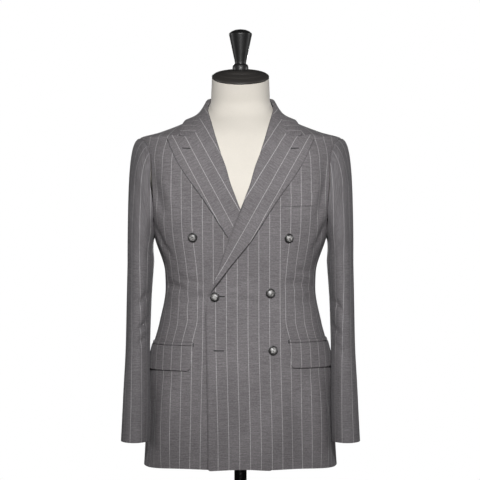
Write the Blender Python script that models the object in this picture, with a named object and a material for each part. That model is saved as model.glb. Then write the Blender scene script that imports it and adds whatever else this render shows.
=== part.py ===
"""A double breasted blazer on a limbless dress form, with the form's cap, finial, pole and base.

Metres, +Z up. The origin is on the floor under the middle of the base. The front faces -Y and
the wearer's left is +X. Every piece of cloth is a wall on one body surface, which is a stack of
level rings: a place on it is an angle round the ring (0 at the front, 90 at the wearer's left,
180 at the back), a height, and a lift off the surface.
"""

import math
from collections import namedtuple

import bmesh
import bpy
from mathutils import Matrix, Vector

# ---- Driving sizes -------------------------------------------------------------------------

WALL = 0.002  # cloth, interlining and lining together
SEAM = 0.0003  # between two pieces that are sewn together
GORGE_GAP = 0.00021  # how far each side of the gorge seam is moved across and along
LAYER = 0.0009  # between a piece and the piece that lies on it
COLLAR_LAYER = 0.0030  # the same on the shoulders, where the collar stands off
COLLAR_LAYER_FROM, COLLAR_LAYER_TO = 1.430, 1.500  # the heights between which the gap grows
THIN_WALL = 0.0012  # jettings and the welt

HEM = 0.817
BREAK = 1.174  # where the roll line leaves the front edge
SHOULDER_TIP = 1.4985
NECK_SEAM = 1.562
FOLD_INSET = 0.001  # how far a front's edge lies inside its lapel's fold

ARMHOLE_MIDDLE = 1.395
ARMHOLE_HALF_HEIGHT = 0.1035
ARMHOLE_HALF_ANGLE = 22.0
ARMHOLE_ROUNDNESS = 2.4
ARMHOLE_STEP = 18  # degrees round the armhole between two rows
SIDE_SEAM_TURN = 144  # how far round the armhole, from its top, the side seams meet it
FRONT_SIDE_SEAM_AT_HEM = 70.0
BACK_SIDE_SEAM_AT_HEM = 112.0

OVERLAP_LIFT = 0.0028  # the left front stands this far out where the fronts cross, the right in
CROSSING_INNER, CROSSING_OUTER = 0.072, 0.120  # the lift fades between these distances out
CROSSING_TOP, CROSSING_END = 1.400, 1.500  # and between these heights

Ring = namedtuple("Ring", "height half_width front side back roundness")

# The jacket's outer surface from the hem to the shoulder tips. front, side and back are the
# depths of the ring's foremost, widest and rearmost places.
BODY = (
    Ring(0.817, 0.2025, -0.135, 0.000, 0.128, 2.4),
    Ring(1.042, 0.1880, -0.122, 0.000, 0.116, 2.4),
    Ring(1.113, 0.1700, -0.116, 0.000, 0.104, 2.5),
    Ring(1.187, 0.1570, -0.113, 0.000, 0.098, 2.5),
    Ring(1.218, 0.1580, -0.115, 0.000, 0.100, 2.5),
    Ring(1.292, 0.1800, -0.125, 0.000, 0.113, 2.7),
    Ring(1.338, 0.1890, -0.130, 0.001, 0.119, 2.9),
    Ring(1.403, 0.2000, -0.128, 0.002, 0.121, 2.9),
    Ring(1.445, 0.2045, -0.119, 0.003, 0.118, 2.6),
    Ring(1.475, 0.2080, -0.109, 0.003, 0.112, 2.3),
    Ring(1.4985, 0.2110, -0.098, 0.004, 0.104, 1.9),
)

# The same surface from the shoulder tips up the slope to the top of the collar.
SHOULDER = (
    Ring(1.4985, 0.2110, -0.098, 0.004, 0.1040, 1.9),
    Ring(1.5115, 0.1695, -0.091, 0.004, 0.0985, 1.95),
    Ring(1.5260, 0.1305, -0.081, 0.005, 0.0935, 2.0),
    Ring(1.5344, 0.1115, -0.075, 0.005, 0.0905, 2.0),
    Ring(1.5428, 0.0925, -0.069, 0.006, 0.0870, 2.0),
    Ring(1.5524, 0.0812, -0.063, 0.006, 0.0820, 2.1),
    Ring(1.5655, 0.0715, -0.057, 0.007, 0.0765, 2.1),
    Ring(1.5770, 0.0658, -0.055, 0.006, 0.0720, 2.1),
    Ring(1.5950, 0.0650, -0.054, 0.006, 0.0710, 2.1),
)

Mark = namedtuple("Mark", "out height")

# Outlines on the left front, as distances out from the middle of the body and heights. The
# right front's are their mirror images.
FRONT_EDGE = (Mark(-0.0667, 0.817), Mark(-0.0670, 0.899), Mark(-0.0696, 1.062), Mark(-0.0712, 1.137),
              Mark(-0.0648, BREAK))
ROLL_LINE = (Mark(-0.0648, BREAK), Mark(-0.0564, 1.1905), Mark(-0.0407, 1.239), Mark(-0.0188, 1.3033),
             Mark(0.0017, 1.3531), Mark(0.0153, 1.389), Mark(0.0310, 1.430), Mark(0.0374, 1.4546),
             Mark(0.0483, 1.490), Mark(0.0611, 1.5347), Mark(0.0680, NECK_SEAM))
LAPEL_EDGE = (Mark(-0.0632, BREAK), Mark(-0.0210, 1.2334), Mark(0.0196, 1.2845), Mark(0.0378, 1.3123),
              Mark(0.0837, 1.3813), Mark(0.0981, 1.4009), Mark(0.1271, 1.4440), Mark(0.1500, 1.4935))
GORGE = (Mark(0.0680, NECK_SEAM), Mark(0.0762, 1.544), Mark(0.0838, 1.5260), Mark(0.0885, 1.513),
         Mark(0.0916, 1.4995))
PEAK_TOP = (Mark(0.1080, 1.4985), Mark(0.1245, 1.4985), Mark(0.1435, 1.5020), Mark(0.1500, 1.4935))
NOTCH = (Mark(0.1060, 1.5003), Mark(0.1219, 1.5010))  # the collar's end past the gorge

Place = namedtuple("Place", "angle height")

COLLAR_FOLD = (Place(73.0, 1.5630), Place(90.0, 1.5780), Place(120.0, 1.5875), Place(180.0, 1.5920))
COLLAR_EDGE = (Place(58.0, 1.5010), Place(65.5, 1.5180), Place(80.0, 1.5315), Place(90.0, 1.5350),
               Place(112.0, 1.5385), Place(145.0, 1.5425), Place(180.0, 1.5450))

Flap = namedtuple("Flap", "side front top bottom")

FLAPS = (Flap("left", 0.1000, 1.0755, 1.0240), Flap("right", 0.0985, 1.0690, 1.0185))
FLAP_BACK_ANGLE = 97.0
FLAP_CORNER = 0.008
FLAP_CORNER_ANGLES = (0.0, 1.0, 2.6)  # past the front edge
FLAP_CORNER_CUTS = (0.7, 0.2, 0.0)  # shares of the corner's radius at those angles
FLAP_PLAIN_FROM = 9.0  # degrees past the front edge, where even columns start
JETTING_HEIGHT = 0.0055

WELT_INNER, WELT_OUTER = 0.0850, 0.1500
WELT_BOTTOM, WELT_TOP = 1.354, 1.3805  # at the inner end
WELT_RISE = 0.0035
WELT_LEAN = 0.012  # how far the inner end slants outwards from its foot to its top

Button = namedtuple("Button", "name side out height")
Turned = namedtuple("Turned", "radius height")  # a row of a turned body's profile

BUTTONS = (
    Button("button_upper_left", "left", 0.0980, 1.2911),
    Button("button_upper_right", "right", 0.0978, 1.2922),
    Button("button_middle_left", "left", 0.0605, 1.1775),
    Button("button_fastened", "left", -0.0518, 1.1698),
    Button("button_lower_left", "left", 0.0660, 1.0604),
)
BUTTON_RADIUS = 0.0100
BUTTON_STANDOFF = 0.0006
# A raised rim round a shallow dish, from the side that faces the cloth.
BUTTON_PROFILE = (Turned(0.0078, 0.0), Turned(0.0094, 0.0007), Turned(BUTTON_RADIUS, 0.0019),
                  Turned(0.0094, 0.0033), Turned(0.0082, 0.0038), Turned(0.0066, 0.0032))

SleeveRing = namedtuple("SleeveRing", "height middle_out middle_y half_width half_depth")

SLEEVE = (
    SleeveRing(1.240, 0.2088, -0.006, 0.0278, 0.0720),
    SleeveRing(1.154, 0.2122, -0.018, 0.0259, 0.0670),
    SleeveRing(1.075, 0.2135, -0.038, 0.0255, 0.0620),
    SleeveRing(0.955, 0.2150, -0.072, 0.0280, 0.0560),
    SleeveRing(0.870, 0.2173, -0.090, 0.0291, 0.0530),
)
SLEEVE_HEAD_STEPS = 6
SLEEVE_TUBE_STEPS = 6
SLEEVE_SET_IN = 0.0005  # from the armhole's edge to the sleeve
# The way the sleeve leaves the armhole at its foot, and what is added to that at its top.
SLEEVE_LEAVING, SLEEVE_LEAVING_AT_TOP = Vector((0.35, 0, -0.9)), Vector((0.65, 0, 0.85))
SLEEVE_LEAVING_FORWARD = 0.2
SLEEVE_FIRST_PULL, SLEEVE_FIRST_PULL_AT_TOP = 0.33, -0.25  # shares of the head's length
SLEEVE_LAST_PULL, SLEEVE_LAST_PULL_AT_TOP = 0.33, 0.44
FOREARM_SEAM_TURN = 126  # round the sleeve from its outer side, towards the front
ELBOW_SEAM_TURN = 252

FORM_BOTTOM = 0.870
FORM_NECK_FOOT = 1.568
FORM_NECK_TOP = 1.6255
FORM_NECK_MIDDLE = -0.003
NECK_FOOT_MIDDLE = 0.006
NECK_TILT = math.radians(16.7)  # the cap leans forward

Inset = namedtuple("Inset", "height depth")

# How far the form lies inside the jacket's outer surface. It carries the shoulders.
FORM_INSET = (Inset(0.870, 0.0120), Inset(1.420, 0.0105), Inset(1.480, 0.0066), Inset(1.515, 0.0036),
              Inset(1.545, 0.0036), Inset(1.595, 0.0045))

TiltedRing = namedtuple("TiltedRing", "height radius tilt")  # tilt is a share of NECK_TILT

NECK = (TiltedRing(1.578, 0.0620, 0.15), TiltedRing(1.592, 0.0614, 0.45), TiltedRing(1.610, 0.0605, 0.80),
        TiltedRing(FORM_NECK_TOP, 0.0600, 1.00))
CAP = (TiltedRing(1.6258, 0.0600, 1.0), TiltedRing(1.6293, 0.0600, 1.0), TiltedRing(1.6318, 0.0565, 1.0),
       TiltedRing(1.6334, 0.0470, 0.9), TiltedRing(1.6352, 0.0455, 0.9), TiltedRing(1.6368, 0.0330, 0.7),
       TiltedRing(1.6386, 0.0315, 0.6), TiltedRing(1.6400, 0.0215, 0.0))

FINIAL_FOOT = 1.6403
FINIAL_PROFILE = (Turned(0.0165, 0.0), Turned(0.0165, 0.0127), Turned(0.0130, 0.0147),
                  Turned(0.0150, 0.0290), Turned(0.0195, 0.0500), Turned(0.0245, 0.0740),
                  Turned(0.0240, 0.0800), Turned(0.0190, 0.0850), Turned(0.0100, 0.0873))
POLE_RADIUS = 0.013
BASE_TOP = 0.026
BASE_PROFILE = (Turned(0.190, 0.0), Turned(0.190, 0.010), Turned(0.186, 0.014), Turned(0.060, 0.020),
                Turned(0.030, BASE_TOP))

# How finely each piece's grid is divided.
FRONT_COLUMNS, BACK_COLUMNS = 11, 8
FRONT_SKIRT_ROWS, FRONT_WAIST_ROWS = 7, 3
BACK_ROWS, SIDE_ROWS, SHOULDER_ROWS = 9, 10, 8
LAPEL_LOWER_ROWS, LAPEL_UPPER_ROWS, LAPEL_FINE_FROM = 9, 6, 0.78
COLLAR_COLUMNS, STAND_ROWS = 14, 3
FLAP_COLUMNS, FLAP_ROWS, WELT_COLUMNS, WELT_ROWS = 9, 2, 5, 2
FORM_SIDES, FORM_LOWER_ROWS, FORM_CHEST_ROWS, FORM_SHOULDER_ROWS = 40, 12, 4, 8
BUTTON_SIDES, FINIAL_SIDES, POLE_SIDES, BASE_SIDES = 20, 28, 24, 48

SUIT_GREY = (0.165, 0.160, 0.165)
LINEN = (0.78, 0.74, 0.68)
BLACK = (0.012, 0.012, 0.013)
HORN = (0.055, 0.050, 0.050)
SOFT_ANGLE, HARD_ANGLE = 40, 32  # edges that turn by more degrees than this are shown sharp


# ---- Smooth tables -------------------------------------------------------------------------

class Curve:
    """A smooth curve through a table's rows, which never overshoots them."""

    def __init__(self, places, values):
        self.places = places
        self.values = values
        spans = [b - a for a, b in zip(places, places[1:])]
        rises = [(b - a) / span for a, b, span in zip(values, values[1:], spans)]
        inner = [self.slope_between(before, after) for before, after in zip(rises, rises[1:])]
        self.slopes = [rises[0], *inner, rises[-1]]

    @staticmethod
    def slope_between(before, after):
        if before * after <= 0:
            return 0.0
        return 2 * before * after / (before + after)

    def __call__(self, place):
        place = min(max(place, self.places[0]), self.places[-1])
        row = 0
        while row < len(self.places) - 2 and place > self.places[row + 1]:
            row += 1
        span = self.places[row + 1] - self.places[row]
        part = (place - self.places[row]) / span
        rest = 1 - part
        return (
            self.values[row] * rest * rest * (1 + 2 * part)
            + self.values[row + 1] * part * part * (1 + 2 * rest)
            + span * part * rest * (self.slopes[row] * rest - self.slopes[row + 1] * part)
        )


def curves_of(rows):
    """One curve over height for each other column of a table."""
    heights = [row.height for row in rows]
    columns = [name for name in rows[0]._fields if name != "height"]
    return {name: Curve(heights, [getattr(row, name) for row in rows]) for name in columns}


BODY_CURVES = curves_of(BODY)
SHOULDER_CURVES = curves_of(SHOULDER)
SLEEVE_CURVES = curves_of(tuple(reversed(SLEEVE)))
INSET_CURVE = curves_of(FORM_INSET)["depth"]
FRONT_EDGE_OUT = curves_of(FRONT_EDGE)["out"]
ROLL_LINE_OUT = curves_of(ROLL_LINE)["out"]
LAPEL_EDGE_OUT = curves_of(LAPEL_EDGE)["out"]


def fade(value, start, end):
    """1 at start, 0 at end, and smooth between."""
    part = min(max((value - start) / (end - start), 0.0), 1.0)
    return 1 - part * part * (3 - 2 * part)


# ---- The body surface ----------------------------------------------------------------------

def ring_at(height):
    curves = BODY_CURVES if height <= SHOULDER_TIP else SHOULDER_CURVES
    return Ring(height, *(curves[name](height) for name in Ring._fields[1:]))


def surface(angle, height):
    """The point at an angle, in degrees, round the jacket's ring at a height."""
    ring = ring_at(height)
    across = math.sin(math.radians(angle))
    forward = math.cos(math.radians(angle))
    depth = ring.side - ring.front if forward > 0 else ring.back - ring.side
    size = (abs(across) / ring.half_width) ** ring.roundness + (abs(forward) / depth) ** ring.roundness
    reach = size ** (-1 / ring.roundness)
    return Vector((reach * across, ring.side - reach * forward, height))


def lifted(angle, height, lift):
    """A point off the body surface, along its outward direction."""
    turn, rise = 0.5, 0.002
    around = surface(angle + turn, height) - surface(angle - turn, height)
    top = SHOULDER_TIP if height <= SHOULDER_TIP else SHOULDER[-1].height
    above = min(height + rise, top)
    below = above - 2 * rise
    upward = surface(angle, above) - surface(angle, below)
    return surface(angle, height) + around.cross(upward).normalized() * lift


def front_angle(out, height):
    """The angle of the point on the front that lies a distance out from the middle."""
    ring = ring_at(height)
    share = min(abs(out) / ring.half_width, 1.0)
    forward = (ring.side - ring.front) * (1 - share ** ring.roundness) ** (1 / ring.roundness)
    return math.degrees(math.atan2(out, forward))


def place_of(mark):
    return Place(front_angle(mark.out, mark.height), mark.height)


def crossing_lift(side, point):
    """How far a front stands out, or in, where the two fronts lie on each other."""
    out = point.x
    share = fade(out, CROSSING_INNER, CROSSING_OUTER) * fade(point.z, CROSSING_TOP, CROSSING_END)
    return (OVERLAP_LIFT if side == "left" else -OVERLAP_LIFT) * share


def front_point(side, angle, height, lift):
    """A point on the left front, or on the right one as seen in a mirror."""
    return lifted(angle, height, lift + crossing_lift(side, surface(angle, height)))


def body_point(_side, angle, height, lift):
    return lifted(angle, height, lift)


def collar_lift(point):
    """What the lapels and the collar stand off the shoulders by, beyond a layer's gap."""
    return (COLLAR_LAYER - LAYER) * (1 - fade(point.z, COLLAR_LAYER_FROM, COLLAR_LAYER_TO))


def over_front_point(side, angle, height, lift):
    return front_point(side, angle, height, lift + collar_lift(surface(angle, height)))


def over_body_point(_side, angle, height, lift):
    return lifted(angle, height, lift + collar_lift(surface(angle, height)))


def seam_angle(width=SEAM / 2, radius=0.16):
    """The turn that half a seam's gap takes up."""
    return math.degrees(width / radius)


def armhole(turn):
    """The place on the left armhole's edge at a turn from its top, towards the front."""
    across = math.sin(math.radians(turn))
    up = math.cos(math.radians(turn))
    power = 2 / ARMHOLE_ROUNDNESS
    forward = math.copysign(abs(across) ** power, across)
    rise = math.copysign(abs(up) ** power, up)
    return Place(90 - ARMHOLE_HALF_ANGLE * forward, ARMHOLE_MIDDLE + ARMHOLE_HALF_HEIGHT * rise)


# ---- Meshes --------------------------------------------------------------------------------

def material_of(name, colour, roughness, metallic=0.0):
    material = bpy.data.materials.new(name)
    material.use_nodes = True
    shader = material.node_tree.nodes["Principled BSDF"]
    shader.inputs["Base Color"].default_value = (*colour, 1.0)
    shader.inputs["Roughness"].default_value = roughness
    shader.inputs["Metallic"].default_value = metallic
    return material


def add_object(name, bm, material, smooth_angle):
    bmesh.ops.recalc_face_normals(bm, faces=bm.faces)
    mesh = bpy.data.meshes.new(name)
    bm.to_mesh(mesh)
    bm.free()
    mesh.shade_smooth()
    mesh.set_sharp_from_angle(angle=math.radians(smooth_angle))
    mesh.materials.append(material)
    obj = bpy.data.objects.new(name, mesh)
    bpy.context.scene.collection.objects.link(obj)
    return obj


def wall(name, outer, inner, material):
    """A closed wall between two grids of points of the same size."""
    bm = bmesh.new()
    rows, columns = len(outer), len(outer[0])
    faces = [[[bm.verts.new(point) for point in row] for row in grid] for grid in (outer, inner)]
    for grid in faces:
        for row in range(rows - 1):
            for column in range(columns - 1):
                bm.faces.new((grid[row][column], grid[row][column + 1],
                              grid[row + 1][column + 1], grid[row + 1][column]))
    rim = [(row, 0) for row in range(rows)]
    rim += [(rows - 1, column) for column in range(1, columns)]
    rim += [(row, columns - 1) for row in range(rows - 2, -1, -1)]
    rim += [(0, column) for column in range(columns - 2, 0, -1)]
    for (row, column), (next_row, next_column) in zip(rim, rim[1:] + rim[:1]):
        bm.faces.new((faces[0][row][column], faces[0][next_row][next_column],
                      faces[1][next_row][next_column], faces[1][row][column]))
    return add_object(name, bm, material, SOFT_ANGLE)


def mirrored(side, point):
    return point if side == "left" else Vector((-point.x, point.y, point.z))


def cloth(name, side, grid, point_at, bottom, top, material):
    """A wall over a grid of places, between two lifts off the surface."""
    layers = [
        [[mirrored(side, point_at(side, angle, height, lift)) for angle, height in row] for row in grid]
        for lift in (top, bottom)
    ]
    return wall(name, *layers, material)


def mix(a, b, share):
    return a + (b - a) * share


def spread(start, end, steps):
    return [mix(start, end, step / steps) for step in range(steps + 1)]


def along_line(points, share):
    """The place at a share of the way along a line of places, each stretch counted alike."""
    place = min(share * (len(points) - 1), len(points) - 1.000001)
    row = int(place)
    return Place(*(mix(a, b, place - row) for a, b in zip(points[row], points[row + 1])))


def patch(bottom, top, start, end, shares=None):
    """A grid of places inside four edges: bottom and top run from start to end."""
    columns, rows = len(bottom) - 1, len(start) - 1
    shares = shares or spread(0, 1, rows)
    grid = []
    for row, up in enumerate(shares):
        line = []
        for column in range(columns + 1):
            across = column / columns
            line.append(Place(*(
                mix(bottom[column][axis], top[column][axis], up)
                + mix(start[row][axis], end[row][axis], across)
                - mix(mix(bottom[0][axis], bottom[-1][axis], across),
                      mix(top[0][axis], top[-1][axis], across), up)
                for axis in (0, 1)
            )))
        grid.append(line)
    return grid


# ---- The body's panels ---------------------------------------------------------------------

def panel_heights():
    """The heights of the rows that the front and back share above the armhole's foot."""
    turns = range(SIDE_SEAM_TURN, -1, -ARMHOLE_STEP)
    heights = [armhole(turn).height for turn in turns]
    return heights + spread(SHOULDER_TIP, NECK_SEAM, SHOULDER_ROWS)[1:]


def outer_edge(height, at_hem, top_turn):
    """The angle of a panel's outer edge: side seam, then armhole, then shoulder seam."""
    seam_top = armhole(top_turn)
    if height <= seam_top.height:
        return mix(at_hem, seam_top.angle, (height - HEM) / (seam_top.height - HEM))
    if height >= SHOULDER_TIP:
        return 90.0
    rise = (height - ARMHOLE_MIDDLE) / ARMHOLE_HALF_HEIGHT
    reach = (1 - abs(rise) ** ARMHOLE_ROUNDNESS) ** (1 / ARMHOLE_ROUNDNESS)
    return 90 - math.copysign(ARMHOLE_HALF_ANGLE * reach, 90 - seam_top.angle)


def front_inner_out(height):
    if height <= BREAK:
        return FRONT_EDGE_OUT(height)
    return ROLL_LINE_OUT(height) + FOLD_INSET


def front_grid():
    upper = panel_heights()
    heights = spread(HEM, BREAK, FRONT_SKIRT_ROWS)[:-1]
    heights += spread(BREAK, upper[0], FRONT_WAIST_ROWS)[:-1] + upper
    heights[-1] -= SEAM / 2
    grid = []
    for height in heights:
        inner = front_angle(front_inner_out(height), height)
        outer = outer_edge(height, FRONT_SIDE_SEAM_AT_HEM, SIDE_SEAM_TURN) - seam_angle()
        grid.append([(angle, height) for angle in spread(inner, outer, FRONT_COLUMNS)])
    return grid


def back_grid():
    upper = panel_heights()
    heights = spread(HEM, upper[0], BACK_ROWS)[:-1] + upper
    heights[-1] -= SEAM / 2
    grid = []
    for height in heights:
        outer = outer_edge(height, BACK_SIDE_SEAM_AT_HEM, -SIDE_SEAM_TURN) + seam_angle()
        grid.append([(angle, height) for angle in spread(outer, 180 - seam_angle(), BACK_COLUMNS)])
    return grid


def side_grid():
    turns = range(SIDE_SEAM_TURN, 360 - SIDE_SEAM_TURN + 1, ARMHOLE_STEP)
    tops = [armhole(turn) for turn in turns]
    columns = len(tops) - 1
    front, back = FRONT_SIDE_SEAM_AT_HEM + seam_angle(), BACK_SIDE_SEAM_AT_HEM - seam_angle()
    tops[0] = Place(tops[0].angle + seam_angle(), tops[0].height)
    tops[-1] = Place(tops[-1].angle - seam_angle(), tops[-1].height)
    hem = spread(front, back, columns)
    return [
        [(mix(foot, top.angle, share), mix(HEM, top.height, share)) for foot, top in zip(hem, tops)]
        for share in spread(0, 1, SIDE_ROWS)
    ]


def add_panels(side, material):
    cloth(f"front_{side}", side, front_grid(), front_point, -WALL, 0, material)
    cloth(f"side_{side}", side, side_grid(), body_point, -WALL, 0, material)
    cloth(f"back_{side}", side, back_grid(), body_point, -WALL, 0, material)


# ---- Sleeves -------------------------------------------------------------------------------

def sleeve_ring_point(turn, height):
    ring = {name: curve(height) for name, curve in SLEEVE_CURVES.items()}
    across = math.cos(math.radians(turn))
    forward = math.sin(math.radians(turn))
    return Vector((ring["middle_out"] + ring["half_width"] * across,
                   ring["middle_y"] - ring["half_depth"] * forward, height))


def sleeve_head_point(turn, share):
    """A point on the way from the armhole, at 0, to the sleeve's first level ring, at 1."""
    place = armhole(turn)
    start = surface(*place)
    end = sleeve_ring_point(turn, SLEEVE[0].height)
    top = max(math.cos(math.radians(turn)), 0.0)
    forward = math.sin(math.radians(turn))
    leaving = SLEEVE_LEAVING + SLEEVE_LEAVING_AT_TOP * top - Vector((0, SLEEVE_LEAVING_FORWARD, 0)) * forward
    leaving.normalize()
    start = start + leaving * SLEEVE_SET_IN
    span = (end - start).length
    after_start = start + leaving * span * (SLEEVE_FIRST_PULL + SLEEVE_FIRST_PULL_AT_TOP * top)
    before_end = end + Vector((0, 0, 1)) * span * (SLEEVE_LAST_PULL + SLEEVE_LAST_PULL_AT_TOP * top)
    rest = 1 - share
    return (start * rest ** 3 + after_start * 3 * rest * rest * share
            + before_end * 3 * rest * share * share + end * share ** 3)


def sleeve_point(turn, share):
    """share runs from 0 at the armhole through 1 at the first level ring to 2 at the cuff."""
    if share <= 1:
        return sleeve_head_point(turn, max(share, 0.0))
    return sleeve_ring_point(turn, mix(SLEEVE[0].height, SLEEVE[-1].height, min(share, 2.0) - 1))


def sleeve_direction(turn, share):
    """The outward direction of the sleeve's surface."""
    step = 0.02
    low = min(max(share, step), 2 - step)
    around = sleeve_point(turn + 2, share) - sleeve_point(turn - 2, share)
    down = sleeve_point(turn, low + step) - sleeve_point(turn, low - step)
    return around.cross(down).normalized()


def sleeve_piece(name, side, first_turn, last_turn, material):
    shares = spread(0, 1, SLEEVE_HEAD_STEPS) + spread(1, 2, SLEEVE_TUBE_STEPS)[1:]
    steps = round((last_turn - first_turn) / ARMHOLE_STEP)
    turns = spread(first_turn, last_turn, steps)
    gap = seam_angle(radius=0.045)
    turns[0] += gap
    turns[-1] -= gap
    outer, inner = [], []
    for share in shares:
        points = [(sleeve_point(turn, share), sleeve_direction(turn, share)) for turn in turns]
        outer.append([mirrored(side, point) for point, _ in points])
        inner.append([mirrored(side, point - out * WALL) for point, out in points])
    wall(name, outer, inner, material)


def add_sleeve(side, material):
    sleeve_piece(f"sleeve_top_{side}", side, ELBOW_SEAM_TURN - 360, FOREARM_SEAM_TURN, material)
    sleeve_piece(f"sleeve_under_{side}", side, FOREARM_SEAM_TURN, ELBOW_SEAM_TURN, material)


# ---- Lapels and collar ---------------------------------------------------------------------

def shifted(marks, out, up):
    return [place_of(Mark(mark.out + out, mark.height + up)) for mark in marks]


def smooth_line(curve, bottom, top, shares):
    heights = [mix(bottom, top, share) for share in shares]
    return [place_of(Mark(curve(height), height)) for height in heights]


def lapel_grid():
    shares = spread(0, LAPEL_FINE_FROM, LAPEL_LOWER_ROWS)
    shares += spread(LAPEL_FINE_FROM, 1, LAPEL_UPPER_ROWS)[1:]
    gap = GORGE_GAP
    top = shifted(GORGE, -gap, -gap) + shifted(PEAK_TOP, 0, -gap)
    foot = spread(ROLL_LINE[0].out, LAPEL_EDGE[0].out, len(top) - 1)
    bottom = [place_of(Mark(out, BREAK)) for out in foot]
    roll = smooth_line(ROLL_LINE_OUT, BREAK, top[0].height, shares)
    edge = smooth_line(LAPEL_EDGE_OUT, BREAK, top[-1].height, shares)
    roll[-1], edge[-1] = top[0], top[-1]
    return patch(bottom, top, roll, edge, shares)


def add_lapel(side, material):
    cloth(f"lapel_{side}", side, lapel_grid(), over_front_point, LAYER, LAYER + WALL, material)


def place_line(rows, steps):
    """Places along a smooth line through a table, at even shares of its angles."""
    curve = Curve([row.angle for row in rows], [row.height for row in rows])
    return [Place(angle, curve(angle)) for angle in spread(rows[0].angle, rows[-1].angle, steps)]


def spread_places(start, end, steps):
    return [Place(mix(start[0], end[0], share), mix(start[1], end[1], share))
            for share in spread(0, 1, steps)]


def whole_round(half):
    """A grid from one front end to the other, from the half on the wearer's left."""
    return [row + [(360 - angle, height) for angle, height in reversed(row[:-1])] for row in half]


def add_collar(material):
    gap = GORGE_GAP
    end = list(reversed(shifted(GORGE, gap, gap) + shifted(NOTCH, 0, gap)))
    fold = place_line(COLLAR_FOLD, COLLAR_COLUMNS)
    edge = place_line(COLLAR_EDGE, COLLAR_COLUMNS)
    fold[0], edge[0] = end[-1], end[0]
    middle = spread_places(edge[-1], fold[-1], len(end) - 1)
    leaf = whole_round(patch(edge, fold, end, middle))
    cloth("collar_leaf", "left", leaf, over_body_point, LAYER, LAYER + WALL, material)

    seam_line = [Place(place.angle, NECK_SEAM + SEAM / 2) for place in fold]
    start = spread_places(seam_line[0], fold[0], STAND_ROWS)
    middle = spread_places(seam_line[-1], fold[-1], STAND_ROWS)
    stand = whole_round(patch(seam_line, fold, start, middle))
    cloth("collar_stand", "left", stand, body_point, -WALL, 0, material)


# ---- Pockets -------------------------------------------------------------------------------

def flap_grid(flap):
    """Columns from the front edge back; the lower front corner is rounded."""
    front = front_angle(flap.front, flap.top)
    angles = [front + angle for angle in FLAP_CORNER_ANGLES]
    angles += spread(front + FLAP_PLAIN_FROM, FLAP_BACK_ANGLE, FLAP_COLUMNS - len(angles))
    cuts = list(FLAP_CORNER_CUTS) + [0.0] * (len(angles) - len(FLAP_CORNER_CUTS))
    return [
        [(angle, mix(flap.bottom + FLAP_CORNER * cut, flap.top, share)) for angle, cut in zip(angles, cuts)]
        for share in spread(0, 1, FLAP_ROWS)
    ]


def jetting_grid(flap):
    front = front_angle(flap.front, flap.top)
    low = flap.top + SEAM
    return [[(angle, height) for angle in spread(front, FLAP_BACK_ANGLE, FLAP_COLUMNS)]
            for height in (low, low + JETTING_HEIGHT)]


def add_hip_pocket(flap, material):
    side = flap.side
    cloth(f"hip_flap_{side}", side, flap_grid(flap), front_point, LAYER, LAYER + WALL, material)
    cloth(f"hip_jetting_{side}", side, jetting_grid(flap), front_point, LAYER, LAYER + THIN_WALL, material)


def add_breast_welt(material):
    grid = []
    for up in spread(0, 1, WELT_ROWS):
        line = []
        for share in spread(0, 1, WELT_COLUMNS):
            height = mix(WELT_BOTTOM, WELT_TOP, up) + WELT_RISE * share
            out = mix(WELT_INNER + WELT_LEAN * up, WELT_OUTER, share)
            line.append((front_angle(out, height), height))
        grid.append(line)
    cloth("breast_welt", "left", grid, front_point, LAYER, LAYER + THIN_WALL, material)


# ---- Turned pieces -------------------------------------------------------------------------

def turned(name, profile, material, sides):
    """A closed body turned about its own Z from a profile that runs upwards."""
    angles = round_angles(sides)
    rings = [tilted_ring(TiltedRing(row.height, row.radius, 0), 0, angles) for row in profile]
    return stacked(name, rings, material, HARD_ANGLE)


def add_button(button, material):
    """A button square to the cloth under it."""
    obj = turned(button.name, BUTTON_PROFILE, material, BUTTON_SIDES)
    place = place_of(Mark(button.out, button.height))
    seat = front_point(button.side, *place, BUTTON_STANDOFF)
    facing = (seat - front_point(button.side, *place, 0)).normalized()
    seat, facing = mirrored(button.side, seat), mirrored(button.side, facing)
    obj.matrix_world = Matrix.Translation(seat) @ facing.to_track_quat("Z", "Y").to_matrix().to_4x4()


# ---- The dress form and its stand ----------------------------------------------------------

def form_torso_point(angle, height):
    return lifted(angle, height, -INSET_CURVE(height))


def tilted_ring(ring, middle, angles):
    points = []
    for angle in angles:
        turn = math.radians(angle)
        x, y = ring.radius * math.sin(turn), -ring.radius * math.cos(turn)
        points.append(Vector((x, middle + y, ring.height + y * math.tan(NECK_TILT) * ring.tilt)))
    return points


def stacked(name, rings, material, smooth_angle):
    """A closed body through a stack of rings of as many points each."""
    bm = bmesh.new()
    rings = [[bm.verts.new(point) for point in ring] for ring in rings]
    for low, high in zip(rings, rings[1:]):
        for step in range(len(low)):
            after = (step + 1) % len(low)
            bm.faces.new((low[step], low[after], high[after], high[step]))
    bm.faces.new(list(reversed(rings[0])))
    bm.faces.new(rings[-1])
    return add_object(name, bm, material, smooth_angle)


def round_angles(segments):
    return [360 * step / segments for step in range(segments)]


def add_form(material):
    angles = round_angles(FORM_SIDES)
    heights = spread(FORM_BOTTOM, ARMHOLE_MIDDLE, FORM_LOWER_ROWS)[:-1]
    heights += spread(ARMHOLE_MIDDLE, SHOULDER_TIP, FORM_CHEST_ROWS)[:-1]
    heights += spread(SHOULDER_TIP, FORM_NECK_FOOT, FORM_SHOULDER_ROWS)
    rings = [[form_torso_point(angle, height) for angle in angles] for height in heights]
    for point in rings[0]:
        point.z = FORM_BOTTOM
    for ring in NECK:
        middle = mix(NECK_FOOT_MIDDLE, FORM_NECK_MIDDLE, ring.tilt)
        rings.append(tilted_ring(ring, middle, angles))
    stacked("form_torso", rings, material, SOFT_ANGLE)


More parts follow.
